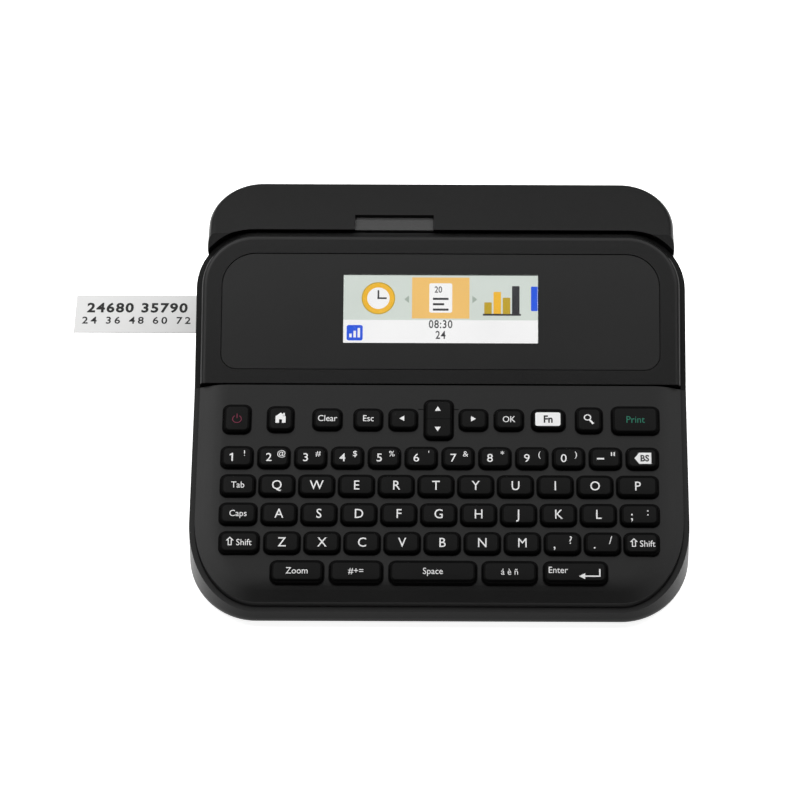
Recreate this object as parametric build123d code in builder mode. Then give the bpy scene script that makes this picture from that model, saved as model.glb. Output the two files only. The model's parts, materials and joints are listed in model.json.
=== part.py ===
from build123d import *

import os
from math import atan2, cos, degrees, radians, sin, tan

# Desktop label maker: keyboard deck in front, sloping display behind it, tape compartment at the back.
# Millimetres. X runs right, Y back and Z up, with the feet on Z = 0.
# Every piece is drawn about the middle of the case. save() then moves it along X, so that the origin
# lies under the middle of the whole part, with its label.

# Case
case_width = 201.0
case_depth = 192.0
case_wall = 2.2
case_floor = 2.2
case_bottom_round = 3.5
front_corner_x = 28.0
front_corner_y = 40.0
rear_corner_x = 24.0
rear_corner_y = 31.0
foot_height = 1.5
foot_radius = 6.0
foot_in_x = 24.0
foot_in_y = 24.0
past = 5.0

# Slopes, both measured from the seam between the deck and the display
seam_from_back = 91.5
seam_z = 45.0
deck_slope = 17.7
hump_slope = 36.7
hump_length = 66.3
ridge_round = 24.0
ridge_beam = 8.5
corner_return = 7.2
ledge_width = 6.5
ledge_from_hinge = 2.0

# Upper shells
rim_drop = 4.4
rim_overlap = 0.8
shell_wall = 2.2
shell_gap = 0.15
seam_gap = 0.4
deck_roll_in = 7.5
deck_roll_drop = 2.4
deck_roll_round = 26.0
hump_edge_round = 2.2

# Display
panel_side = 10.5
panel_height = 49.8
panel_start = 6.3
panel_upper_round = 14.0
panel_lower_round = 6.5
panel_recess = 1.2
panel_gap = 0.35
panel_thickness = 1.0
screen_width = 80.0
screen_height = 29.5
screen_start = 17.7
screen_border = 2.0
lens_gap = 0.1
lcd_border = 5.0
lcd_thickness = 3.6

# Rear cover and its hinge
cover_inset = 2.3
cover_side_inset = 4.5
cover_wall = 2.0
cover_top = 83.6
cover_round = 3.0
cover_corner_lug = 8.0
ridge_gap = 0.6
rear_rim = 34.9
cover_lip_gap = 0.6
hinge_z = 41.0
hinge_from_back = 7.3
knuckle_radius = 2.6
knuckle_length = 10.0
hinge_x = 60.0
hinge_pin_radius = 1.5
hinge_pin_length = 3.4
ear_thickness = 2.6
ear_gap = 0.4
ear_room = 1.0
ear_root = 8.0
pin_clearance = 0.05
window_width = 32.5
window_x = -19.4
window_from_back = 26.5
window_gap = 0.1

# Tape, cassette and label
tape_width = 24.0
tape_thickness = 0.3
tape_z = 30.5
tape_gap = 0.05
tape_start_in = 68.0
label_overhang = 53.5
label_tilt = 4.0
slot_height = 2.6
slot_gap = 0.5
cassette_in = 22.5
cassette_width = 77.5
cassette_bottom = 26.0
cassette_under_cover = 9.6
cassette_wall = 0.8
cassette_gap = 0.2
roll_in = 75.5
roll_room = 3.5
roll_bore_radius = 5.0
spool_radius = 6.0
spool_shaft_radius = 2.0
cassette_round = 4.0

# Tape drive: the gears stand in front of the plate, the cassette behind it
plate_from_back = 41.0
plate_thickness = 2.0
plate_in = 12.0
plate_width = 85.5
plate_under_cover = 13.6
flange_thickness = 1.8
flange_depth = 31.0
flange_top = 46.0
gear_module = 0.8
gear_width = 4.0
gear_play = 0.25
gear_gap = 0.5
tooth_tip = 0.72
tooth_root = 0.88
tooth_tip_half = 0.3
tooth_root_half = 0.75
platen_teeth = 12
idler_teeth = 30
spool_teeth = 24
pinion_teeth = 12
platen_in = 18.9
platen_radius = 4.0
shaft_radius = 1.5
spool_angle = 20.0
pinion_angle = -35.0
holder_pivot_in = 36.5
holder_pivot_z = 17.0
holder_arm_half = 3.2
holder_arm_thickness = 1.5
holder_bar = 2.0
holder_pin_radius = 1.8
holder_gap = 0.3
idler_pin_radius = 2.0
platen_hole_radius = 3.6
head_height = 17.0
motor_radius = 10.0
motor_length = 26.0
motor_leg_radius = 2.0
motor_leg_reach = 12.5
motor_leg_rim = 0.6
motor_flange = 2.0

# Cutter
blade_thickness = 1.2
blade_gap = 0.1
cutter_from_plate = 3.0
cutter_pivot_z = 31.5
cutter_hub_radius = 4.0
sector_teeth = 35
sector_count = 7
fixed_blade_start = 2.5
blade_past_tape = 0.8
blade_room = 1.2
blade_tip_room = 3.0
blade_lift = 0.6
blade_slope = 11.5
blade_height = 8.0
cutter_shaft_radius = 1.0
cutter_gear_width = 2.8
fixed_blade_bottom = 18.0
cutter_motor_radius = 7.0
cutter_motor_length = 15.5

# Battery cells
cell_radius = 7.25
cell_gap = 0.1
nub_radius = 2.75
nub_height = 1.0
cell_length = 50.5
cell_from_back = 20.0
first_cell_in = 8.45
tray_under_cover = 61.6
tray_wall = 1.6
tray_gap = 0.8
tray_in = 10.5
tray_from_back = 12.0
tray_wall_under_cover = 6.6
cell_side_gap = 0.25
contact_thickness = 0.6
contact_width = 12.0
contact_leg = 1.4

# Boards, sockets and fasteners
main_board_z = 9.0
main_board_left_in = 42.5
main_board_right_in = 14.5
board_boss_radius = 3.0
board_boss_in = 4.0
main_board_from_back = 46.0
main_board_depth = 70.0
boss_radius = 4.0
boss_top = 9.0
socket_z = 14.0
jack_in = 38.5
jack_radius = 4.5
jack_bore_radius = 2.85
jack_bore_depth = 9.5
jack_length = 11.0
jack_body_width = 10.0
jack_body_height = 11.0
usb_in = 66.5
usb_width = 8.0
usb_height = 3.2
usb_wall = 0.6
usb_length = 9.0
screw_radius = 1.4
screw_head_radius = 2.8
screw_head_height = 1.6
screw_gap = 0.05
front_screw_in_x = 40.5
front_screw_in_y = 16.0
side_screw_in = 8.5
side_screw_behind_seam = 3.5

# Keys
key_gap = 0.3
key_rise = 2.0
key_sunk = 3.0
key_travel = 1.2
key_chamfer = 0.7
key_round = 3.0
row_web = 3.1
last_row_in = 14.0
function_row = 18.0
number_row = 36.7
key_margin = 11.2
number_count = 12
mat_gap = 0.2
mat_thickness = 1.0
board_thickness = 1.6
mat_side = 8.5
mat_start = 7.0
mat_front = 8.5
mat_round = 20.0
deck_boss_radius = 2.0
deck_boss_gap = 0.3
deck_boss_in = 12.5
front_boss_in = 20.5
back_boss_row = 8.4
middle_boss_row = 28.3

half_width = case_width / 2
rear_y = case_depth / 2
seam_y = rear_y - seam_from_back
deck_angle = radians(deck_slope)
hump_angle = radians(hump_slope)
deck_normal = (0, -sin(deck_angle), cos(deck_angle))
hump_normal = (0, -sin(hump_angle), cos(hump_angle))
deck_plane = Plane(origin=(0, seam_y, seam_z), x_dir=(1, 0, 0), z_dir=deck_normal)
hump_plane = Plane(origin=(0, seam_y, seam_z), x_dir=(1, 0, 0), z_dir=hump_normal)
deck_axis = Axis((0, seam_y, seam_z), deck_normal)
hump_axis = Axis((0, seam_y, seam_z), hump_normal)

base_z = foot_height
floor_z = base_z + case_floor
case_height = cover_top + 2 * past
shell_inset = case_wall + shell_gap
skirt = rim_drop + rim_overlap
mat_top = key_sunk + key_travel + mat_gap
board_top = mat_top + mat_thickness

os.makedirs("parts", exist_ok=True)


def save(piece, name):
    """Label a piece, move it so that the origin is under the middle of the whole part, and write it."""
    placed = piece.moved(Location((label_overhang / 2, 0, 0)))
    placed.label = name
    export_step(placed, f"parts/{name}.step")


def slope_point(slope, run, drop=0.0):
    """Y and Z of the point that lies this far up a slope from the seam, and this far below it."""
    angle = radians(slope)
    y = seam_y + run * cos(angle) + drop * sin(angle)
    z = seam_z + run * sin(angle) - drop * cos(angle)
    return (y, z)


def parting_point(height, gap=0.0):
    """Y and Z where the slanted line between the case and the rear cover passes a height."""
    run = hump_length + gap
    drop = (seam_z + run * sin(hump_angle) - height) / cos(hump_angle)
    return slope_point(hump_slope, run, drop)


def plan_outline(inset, narrowing=0.0):
    """Outline of the case from above, with elliptical corners, drawn in by an inset and made narrower."""
    front_x = half_width - narrowing - front_corner_x
    front_y = front_corner_y - rear_y
    back_x = half_width - narrowing - rear_corner_x
    back_y = rear_y - rear_corner_y
    front_radii = (front_corner_x - inset, front_corner_y - inset)
    rear_radii = (rear_corner_x - inset, rear_corner_y - inset)
    with BuildSketch() as outline:
        with BuildLine():
            rear_right = EllipticalCenterArc((back_x, back_y), *rear_radii, start_angle=0)
            rear_left = EllipticalCenterArc((-back_x, back_y), *rear_radii, start_angle=90)
            front_left = EllipticalCenterArc((-front_x, front_y), *front_radii, start_angle=180)
            front_right = EllipticalCenterArc((front_x, front_y), *front_radii, start_angle=270)
            Line(rear_right @ 1, rear_left @ 0)
            Line(rear_left @ 1, front_left @ 0)
            Line(front_left @ 1, front_right @ 0)
            Line(front_right @ 1, rear_right @ 0)
        make_face()
    return outline.sketch


def side_profile(points):
    """Closed outline through points given as Y and Z, on the plane through the middle of the case."""
    with BuildSketch(Plane.YZ) as profile:
        with BuildLine():
            Polyline(*points, close=True)
        make_face()
    return profile.sketch


def ridge_band(inset, corners_only=False):
    """What lies outside the rounded upper edge of the hump, on the plane of its face."""
    with BuildSketch(hump_plane) as band:
        with Locations((0, hump_length - ridge_round)):
            Rectangle(case_width + 2 * past, ridge_round + past, align=(Align.CENTER, Align.MIN))
        with Locations((0, hump_length - inset)):
            RectangleRounded(
                case_width - 2 * inset,
                4 * ridge_round,
                ridge_round - inset,
                align=(Align.CENTER, Align.MAX),
                mode=Mode.SUBTRACT,
            )
            if corners_only:
                Rectangle(case_width - 2 * ridge_round, 4 * ridge_round, mode=Mode.SUBTRACT)
    return band.sketch


def behind_ridge(low, high):
    """What lies behind the line between the case and the cover, from one height to another."""
    return [
        parting_point(high, ridge_gap),
        (rear_y + past, high),
        (rear_y + past, low),
        parting_point(low, ridge_gap),
    ]


def across(y):
    """Plane that faces the front at this Y, so that a sketch on it is given as X and Z."""
    return Plane.XZ.offset(-y)


def pitch_radius(teeth):
    """Radius at which gears of this many teeth meet."""
    return gear_module * teeth / 2


def gear_centre(centre, angle, teeth, next_teeth):
    """Middle of a gear that meets another one in a direction from its middle."""
    reach = pitch_radius(teeth) + pitch_radius(next_teeth) + gear_play
    return (centre[0] + reach * cos(radians(angle)), centre[1] + reach * sin(radians(angle)))


def meshing_phase(angle, phase, teeth, next_teeth):
    """Angle of a tooth on the next gear, so that its gaps meet the teeth of this one."""
    shift = (angle - phase) / (360 / teeth) % 1
    return angle + 180 + (shift - 0.5) * 360 / next_teeth


def tooth(teeth):
    """Straight-sided tooth that points along X from the middle of its gear."""
    root = pitch_radius(teeth) - tooth_root
    tip = pitch_radius(teeth) + tooth_tip
    inside = root - tooth_tip_half
    Polygon(
        (inside, -tooth_root_half),
        (tip, -tooth_tip_half),
        (tip, tooth_tip_half),
        (inside, tooth_root_half),
        align=None,
    )


def gear_face(plane, centre, teeth, phase, bore=0.0):
    """Toothed wheel on a plane, with a bore where one is given."""
    with BuildSketch(plane) as face:
        with Locations(centre):
            Circle(pitch_radius(teeth) - tooth_root)
            with PolarLocations(0, teeth, start_angle=phase):
                tooth(teeth)
            if bore:
                Circle(bore, mode=Mode.SUBTRACT)
    return face.sketch


hinge_y = rear_y - hinge_from_back
front_run = -(rear_y + seam_y + past) / cos(deck_angle)
corner_depth = (seam_z + hump_length * sin(hump_angle) - rear_rim) / cos(hump_angle) + past
rim_corner_run = rim_drop * tan((hump_angle - deck_angle) / 2)
cover_lip = rear_rim + cover_lip_gap

# Key layout: node name, then the middle across in key units, the distance from the seam, the width in key
# units and the depth
deck_length = (rear_y + seam_y) / cos(deck_angle)
row_pitch = (deck_length - last_row_in - number_row) / 4
key_depth = row_pitch - row_web
key_unit = (case_width - 2 * key_margin) / number_count
letter_unit = 1.075
upper_row = number_row + row_pitch
middle_row = upper_row + row_pitch
lower_row = middle_row + row_pitch
space_row = lower_row + row_pitch
arrow_block_depth = 19.6
arrow_offset = arrow_block_depth / 4


def key_run(first, pitch, count, row, width):
    """Places of keys of one width that stand side by side in a row."""
    return [(first + pitch * place, row, width, key_depth) for place in range(count)]


layout = {
    "power_key": [(-5.537, function_row, 0.779, 14.0)],
    "home_key": [(-4.347, function_row, 0.746, 12.6)],
    "clear_key": [(-3.071, function_row, 0.82, key_depth)],
    "escape_key": [(-1.955, function_row, 0.806, key_depth)],
    "left_key": [(-1.001, function_row, 0.806, key_depth)],
    "up_key": [(-0.034, function_row - arrow_offset, 0.813, 2 * arrow_offset)],
    "down_key": [(-0.034, function_row + arrow_offset, 0.813, 2 * arrow_offset)],
    "right_key": [(0.914, function_row, 0.806, key_depth)],
    "ok_key": [(1.881, function_row, 0.82, key_depth)],
    "function_key": [(2.956, function_row, 0.941, key_depth)],
    "search_key": [(4.065, function_row, 0.753, 12.6)],
    "print_key": [(5.328, function_row, 1.317, 13.7)],
    "number_keys": key_run(-5.5, 1.0, number_count, number_row, 0.897),
    "tab_key": [(-5.449, upper_row, 0.968, key_depth)],
    "upper_letter_keys": [
        *key_run(-4.394, letter_unit, 9, upper_row, 0.998),
        (5.355, upper_row, 1.149, key_depth),
    ],
    "caps_key": [(-5.416, middle_row, 1.035, key_depth)],
    "middle_letter_keys": [
        *key_run(-4.314, letter_unit, 9, middle_row, 0.998),
        (5.402, middle_row, 1.075, key_depth),
    ],
    "left_shift_key": [(-5.362, lower_row, 1.102, key_depth)],
    "lower_letter_keys": key_run(-4.213, letter_unit, 9, lower_row, 0.998),
    "right_shift_key": [(5.436, lower_row, 0.968, key_depth)],
    "zoom_key": [(-3.79, space_row, 1.451, key_depth)],
    "symbol_key": [(-2.211, space_row, 1.451, key_depth)],
    "space_key": [(-0.158, space_row, 2.365, key_depth)],
    "accent_key": [(1.895, space_row, 1.498, key_depth)],
    "enter_key": [(3.655, space_row, 1.734, key_depth)],
}
keys = {
    name: [(x * key_unit, row, width * key_unit, depth) for x, row, width, depth in places]
    for name, places in layout.items()
}


def corner_round(depth):
    """Corner radius of a key's opening, no more than a shallow key can take."""
    return min(key_round, depth / 2 - 2 * key_gap)


arrow_block_x = keys["up_key"][0][0]
arrow_block_width = keys["up_key"][0][2]
mat_width = case_width - 2 * mat_side
mat_depth = deck_length - mat_start - mat_front
mat_middle = mat_start + mat_depth / 2
deck_bosses = [
    (side * across_x, row)
    for side in (-1, 1)
    for across_x, row in (
        (half_width - deck_boss_in, back_boss_row),
        (2 * key_unit, back_boss_row),
        (3.5 * key_unit, middle_boss_row),
        (half_width - front_boss_in, space_row),
    )
]

# Places that several pieces share
plate_y = rear_y - plate_from_back
plate_left = plate_in - half_width
plate_right = plate_left + plate_width
plate_top = cover_top - plate_under_cover
flange_front_y = plate_y - flange_depth
cassette_left = cassette_in - half_width
cassette_right = cassette_left + cassette_width
cassette_top = cover_top - cassette_under_cover
roll_x = roll_in - half_width
roll_z = (cassette_top + cassette_bottom) / 2
roll_radius = (cassette_top - cassette_bottom) / 2 - roll_room
platen_x = platen_in - half_width
holder_pivot_x = holder_pivot_in - half_width
tape_start_x = tape_start_in - half_width
cutter_pivot_y = plate_y - cutter_from_plate
tray_left = cassette_right + tray_gap
tray_right = half_width - tray_in
tray_back_y = rear_y - tray_from_back
tray_z = cover_top - tray_under_cover
tray_top = cover_top - tray_wall_under_cover
cell_y = rear_y - cell_from_back
first_cell_x = tray_left + first_cell_in
cell_pairs = int((tray_right - tray_left) / (4 * cell_radius))
main_board_left = main_board_left_in - half_width
main_board_right = half_width - main_board_right_in
main_board_back = rear_y - main_board_from_back
main_board_front = main_board_back - main_board_depth
jack_x = half_width - jack_in
usb_x = half_width - usb_in
window_rear_y = rear_y - window_from_back
screw_places = [
    (side * x, y)
    for side in (-1, 1)
    for x, y in (
        (half_width - front_screw_in_x, front_screw_in_y - rear_y),
        (half_width - side_screw_in, seam_y + side_screw_behind_seam),
    )
]
plate_back = plate_y + plate_thickness
cassette_front_y = plate_back + cassette_gap
tape_front_y = cassette_front_y + cassette_wall + cassette_gap
tape_y = tape_front_y + tape_width / 2
tape_back_y = tape_front_y + tape_width
cassette_back_y = tape_back_y + cassette_gap + cassette_wall
holder_back_y = tape_back_y + holder_gap + holder_arm_thickness
fixed_blade_front_y = cutter_pivot_y + fixed_blade_start
blade_end_y = tape_back_y + blade_past_tape
cutter_motor_y = cutter_pivot_y - gear_module * (sector_teeth + pinion_teeth) / 2 - gear_play
ear_x = hinge_x + knuckle_length / 2 + ear_gap
ear_points = [
    (hinge_y - knuckle_radius, hinge_z),
    (hinge_y + knuckle_radius, hinge_z),
    (hinge_y + knuckle_radius, rear_rim - ear_room),
    (rear_y - case_wall / 2, rear_rim - 3 * ear_room),
    (rear_y - case_wall / 2, rear_rim - 3 * ear_room - ear_root),
    (hinge_y - knuckle_radius, rear_rim - ear_root),
]
board_corners = [
    (x, y)
    for x in (main_board_left + board_boss_in, main_board_right - board_boss_in)
    for y in (main_board_front + board_boss_in, main_board_back - board_boss_in)
]

# Hollow of the case, with what stays solid: a beam along the ridge, a return at each of its corners and a
# ledge under the sides of the rear cover
everywhere = (2 * case_width, 2 * case_depth, case_height)
between_returns = case_width - 2 * corner_return
with BuildPart() as corner_returns:
    extrude(ridge_band(case_wall, corners_only=True), amount=-corner_depth)
    with Locations((0, 0, rear_rim - case_wall)):
        Box(*everywhere, align=(Align.CENTER, Align.CENTER, Align.MIN), mode=Mode.INTERSECT)
    Box(between_returns, 2 * case_depth, 2 * case_height, mode=Mode.SUBTRACT)

with BuildPart() as rear_ledge:
    with BuildSketch(Plane.XY.offset(rear_rim - case_wall)):
        add(plan_outline(0))
        add(plan_outline(ledge_width), mode=Mode.SUBTRACT)
        with Locations((0, plate_y)):
            ledge_depth = hinge_y - ledge_from_hinge - plate_y
            Rectangle(2 * case_width, ledge_depth, align=(Align.CENTER, Align.MIN), mode=Mode.INTERSECT)
        Rectangle(between_returns, 2 * case_depth, mode=Mode.SUBTRACT)
    extrude(amount=case_wall)

with BuildPart() as case_hollow:
    with BuildSketch(Plane.XY.offset(floor_z)):
        add(plan_outline(case_wall))
    extrude(amount=case_height)
    extrude(ridge_band(case_wall), amount=-ridge_beam, mode=Mode.SUBTRACT)
    add(corner_returns.part, mode=Mode.SUBTRACT)
    add(rear_ledge.part, mode=Mode.SUBTRACT)
    with Locations((0, blade_end_y, cutter_pivot_z)):
        Box(between_returns, 2 * blade_tip_room, 2 * (hinge_z - cutter_pivot_z))

# Room beside the rounded corners of the hump, where the rear cover reaches forward
with BuildPart() as corner_room:
    extrude(ridge_band(0, corners_only=True), amount=-corner_depth)
    with Locations((0, 0, rear_rim)):
        Box(*everywhere, align=(Align.CENTER, Align.CENTER, Align.MIN), mode=Mode.INTERSECT)

# Lower case: a tray whose rim follows the deck, then the display, then slants down to the back
rim_profile = [
    slope_point(deck_slope, front_run, rim_drop),
    slope_point(deck_slope, rim_corner_run, rim_drop),
    slope_point(hump_slope, hump_length, rim_drop),
    parting_point(rear_rim),
    (rear_y + past, rear_rim),
    (rear_y + past, 0),
    (-rear_y - past, 0),
]
with BuildPart() as bottom_case:
    with BuildSketch(Plane.XY.offset(base_z)):
        add(plan_outline(0))
    extrude(amount=case_height)
    fillet(bottom_case.faces().sort_by(Axis.Z)[0].edges(), case_bottom_round)
    extrude(side_profile(rim_profile), amount=case_width, both=True, mode=Mode.INTERSECT)
    add(corner_room.part, mode=Mode.SUBTRACT)
    add(case_hollow.part, mode=Mode.SUBTRACT)
    with BuildSketch(Plane.XY.offset(floor_z)):
        with Locations(*screw_places):
            Circle(boss_radius)
    extrude(amount=boss_top - floor_z)
    with Locations(*[(x, y, base_z) for x, y in screw_places]):
        Cylinder(screw_head_radius + screw_gap, 2 * screw_head_height, mode=Mode.SUBTRACT)
        Cylinder(screw_radius + screw_gap, 2 * boss_top, mode=Mode.SUBTRACT)
    with BuildSketch(Plane.XY.offset(floor_z)):
        with Locations(*board_corners):
            Circle(board_boss_radius)
    extrude(amount=main_board_z - floor_z)
    with BuildSketch(Plane.XZ.offset(-rear_y)):
        with Locations((jack_x, socket_z)):
            Circle(jack_radius + shell_gap)
        with Locations((usb_x, socket_z)):
            RectangleRounded(usb_width + 2 * shell_gap, usb_height + 2 * shell_gap, usb_wall)
    extrude(amount=case_wall, both=True, mode=Mode.SUBTRACT)
    with Locations((-half_width, tape_y, tape_z - tape_gap + slot_height / 2)):
        Box(4 * past, tape_width + 2 * slot_gap, slot_height, mode=Mode.SUBTRACT)
    for side in (-1, 1):
        with BuildSketch(Plane.YZ.offset(side * ear_x)):
            with BuildLine():
                Polyline(*ear_points, close=True)
            make_face()
            with Locations((hinge_y, hinge_z)):
                Circle(knuckle_radius)
                Circle(hinge_pin_radius + pin_clearance, mode=Mode.SUBTRACT)
        extrude(amount=side * ear_thickness)
save(bottom_case.part, "bottom_case")

# Keyboard deck: a shell with a rolled edge and one opening for each key


def under_deck(drop, gap):
    """What lies this far below the deck, and this far in front of the seam."""
    return [
        slope_point(deck_slope, front_run, drop),
        slope_point(deck_slope, -seam_gap - gap, drop),
        slope_point(deck_slope, -seam_gap - gap, skirt + past),
        slope_point(deck_slope, front_run, skirt + past),
    ]


with BuildPart() as deck_hollow:
    with BuildSketch():
        add(plan_outline(shell_inset + deck_roll_in))
    extrude(amount=case_height)
    room_below = side_profile(under_deck(shell_wall, shell_wall))
    extrude(room_below, amount=case_width, both=True, mode=Mode.INTERSECT)

with BuildPart() as deck_edge_hollow:
    with BuildSketch():
        add(plan_outline(shell_inset + shell_wall))
    extrude(amount=case_height)
    edge_drop = deck_roll_drop + shell_wall - rim_overlap / 2
    room_below = side_profile(under_deck(edge_drop, shell_wall))
    extrude(room_below, amount=case_width, both=True, mode=Mode.INTERSECT)

with BuildPart() as below_skirt:
    extrude(side_profile(under_deck(skirt, -past)), amount=case_width, both=True)

with BuildPart() as top_case:
    with BuildSketch():
        add(plan_outline(shell_inset))
    extrude(amount=case_height)
    extrude(side_profile(under_deck(0, 0)), amount=case_width, both=True, mode=Mode.INTERSECT)
    deck_face = top_case.faces().sort_by(deck_axis)[-1]
    deck_rim = deck_face.edges().sort_by(Axis.Y)[:-1]
    chamfer(deck_rim, deck_roll_in, deck_roll_drop, reference=deck_face)
    fillet(top_case.faces().sort_by(deck_axis)[-1].edges().sort_by(Axis.Y)[:-1], deck_roll_round)
    add(below_skirt.part, mode=Mode.SUBTRACT)
    add(deck_hollow.part, mode=Mode.SUBTRACT)
    add(deck_edge_hollow.part, mode=Mode.SUBTRACT)
    with BuildSketch(deck_plane):
        for places in keys.values():
            for x, from_seam, width, depth in places:
                with Locations((x, -from_seam)):
                    RectangleRounded(width, depth, corner_round(depth))
        with Locations((arrow_block_x, -function_row)):
            Rectangle(arrow_block_width, 2 * key_round)
    extrude(amount=-skirt, mode=Mode.SUBTRACT)
    with BuildSketch(deck_plane.offset(-shell_wall)):
        with Locations(*[(x, -from_seam) for x, from_seam in deck_bosses]):
            Circle(deck_boss_radius)
    extrude(amount=-(board_top - shell_wall))
save(top_case.part, "top_case")

# Keys, each a cap that slides square to the deck
for name, places in keys.items():
    with BuildPart() as key:
        with BuildSketch(deck_plane.offset(-key_sunk)):
            for x, from_seam, width, depth in places:
                with Locations((x, -from_seam)):
                    cap_round = corner_round(depth) - key_gap
                    RectangleRounded(width - 2 * key_gap, depth - 2 * key_gap, cap_round)
        extrude(amount=key_sunk + key_rise)
        chamfer(key.edges().group_by(deck_axis)[-1], key_chamfer)
    save(key.part, name)

# Rubber mat under the keys and the board that it lies on
with BuildPart() as keypad_mat:
    with BuildSketch(deck_plane.offset(-mat_top)):
        with Locations((0, -mat_middle)):
            RectangleRounded(mat_width, mat_depth, mat_round)
        with Locations(*[(x, -from_seam) for x, from_seam in deck_bosses]):
            Circle(deck_boss_radius + deck_boss_gap, mode=Mode.SUBTRACT)
    extrude(amount=-mat_thickness)
save(keypad_mat.part, "keypad_mat")

with BuildPart() as keyboard_board:
    with BuildSketch(deck_plane.offset(-board_top)):
        with Locations((0, -mat_middle)):
            RectangleRounded(mat_width, mat_depth, mat_round)
    extrude(amount=-board_thickness)
save(keyboard_board.part, "keyboard_board")

# Display housing: a sloping shell with rounded upper corners and a recess for its panel
housing_width = case_width - 2 * shell_inset
housing_top = hump_length - shell_inset
housing_round = ridge_round - shell_inset
panel_width = case_width - 2 * panel_side
panel_middle = panel_start + panel_height / 2
screen_middle = screen_start + screen_height / 2


def housing_outline(plane, inset):
    """Outline of the display housing on its slope, drawn in by an inset."""
    with BuildSketch(plane) as outline:
        with Locations((0, seam_gap + inset)):
            height = housing_top - seam_gap - 2 * inset
            Rectangle(housing_width - 2 * inset, height, align=(Align.CENTER, Align.MIN))
        fillet(outline.vertices().group_by(Axis.Y)[-1], housing_round - inset)
    return outline.sketch


def panel_outline(plane, gap):
    """Outline of the inset panel, rounder at the top, drawn in by a gap."""
    with BuildSketch(plane) as outline:
        with Locations((0, panel_middle)):
            Rectangle(panel_width - 2 * gap, panel_height - 2 * gap)
        fillet(outline.vertices().group_by(Axis.Y)[-1], panel_upper_round - gap)
        fillet(outline.vertices().group_by(Axis.Y)[0], panel_lower_round - gap)
    return outline.sketch


with BuildPart() as display_housing:
    extrude(housing_outline(hump_plane, 0), amount=-skirt)
    fillet(display_housing.faces().sort_by(hump_axis)[-1].edges().sort_by(Axis.Z)[1:], hump_edge_round)
    hollow_plane = hump_plane.offset(-shell_wall)
    extrude(housing_outline(hollow_plane, shell_wall), amount=-skirt, mode=Mode.SUBTRACT)
    extrude(panel_outline(hump_plane, 0), amount=-panel_recess, mode=Mode.SUBTRACT)
    with BuildSketch(hump_plane):
        with Locations((0, screen_middle)):
            Rectangle(screen_width - 2 * screen_border, screen_height - 2 * screen_border)
    extrude(amount=-skirt, mode=Mode.SUBTRACT)
save(display_housing.part, "display_housing")

# Inset panel, screen window and the display behind it
seat_plane = hump_plane.offset(-panel_recess)
with BuildPart() as display_panel:
    extrude(panel_outline(seat_plane, panel_gap), amount=panel_thickness)
    with BuildSketch(seat_plane):
        with Locations((0, screen_middle)):
            Rectangle(screen_width, screen_height)
    extrude(amount=panel_thickness, mode=Mode.SUBTRACT)
save(display_panel.part, "display_panel")

with BuildPart() as screen_lens:
    with BuildSketch(seat_plane):
        with Locations((0, screen_middle)):
            Rectangle(screen_width - 2 * lens_gap, screen_height - 2 * lens_gap)
    extrude(amount=panel_thickness)
save(screen_lens.part, "screen_lens")

with BuildPart() as lcd_module:
    with BuildSketch(hump_plane.offset(-shell_wall)):
        with Locations((0, screen_middle)):
            Rectangle(screen_width + 2 * lcd_border, screen_height + 2 * lcd_border)
    extrude(amount=-lcd_thickness)
save(lcd_module.part, "lcd_module")

# Rear cover: one shell over the back, with a knuckle and a pin at each hinge
cover_ceiling = cover_top - cover_wall
cover_narrowing = cover_side_inset - cover_inset
cover_corners = ridge_band(-ridge_gap, corners_only=True)
with BuildPart() as cover_space:
    extrude(side_profile(behind_ridge(cover_lip, cover_top)), amount=case_width, both=True)
    extrude(cover_corners, amount=-corner_depth)
    with Locations((0, blade_end_y + blade_room, cover_lip)):
        Box(2 * case_width, case_depth, cover_top - cover_lip, align=(Align.CENTER, Align.MIN, Align.MIN))

with BuildPart() as hollow_space:
    extrude(side_profile(behind_ridge(cover_lip - past, cover_ceiling)), amount=case_width, both=True)
    lug_drop = tuple(-cover_corner_lug * part for part in hump_normal)
    extrude(cover_corners.moved(Location(lug_drop)), amount=-corner_depth)
    with Locations((0, blade_end_y, cover_lip - past)):
        hollow_height = cover_ceiling - cover_lip + past
        Box(2 * case_width, case_depth, hollow_height, align=(Align.CENTER, Align.MIN, Align.MIN))

with BuildPart() as cover_hollow:
    with BuildSketch():
        add(plan_outline(cover_inset + cover_wall, cover_narrowing))
    extrude(amount=cover_ceiling)
    add(hollow_space.part, mode=Mode.INTERSECT)

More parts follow.
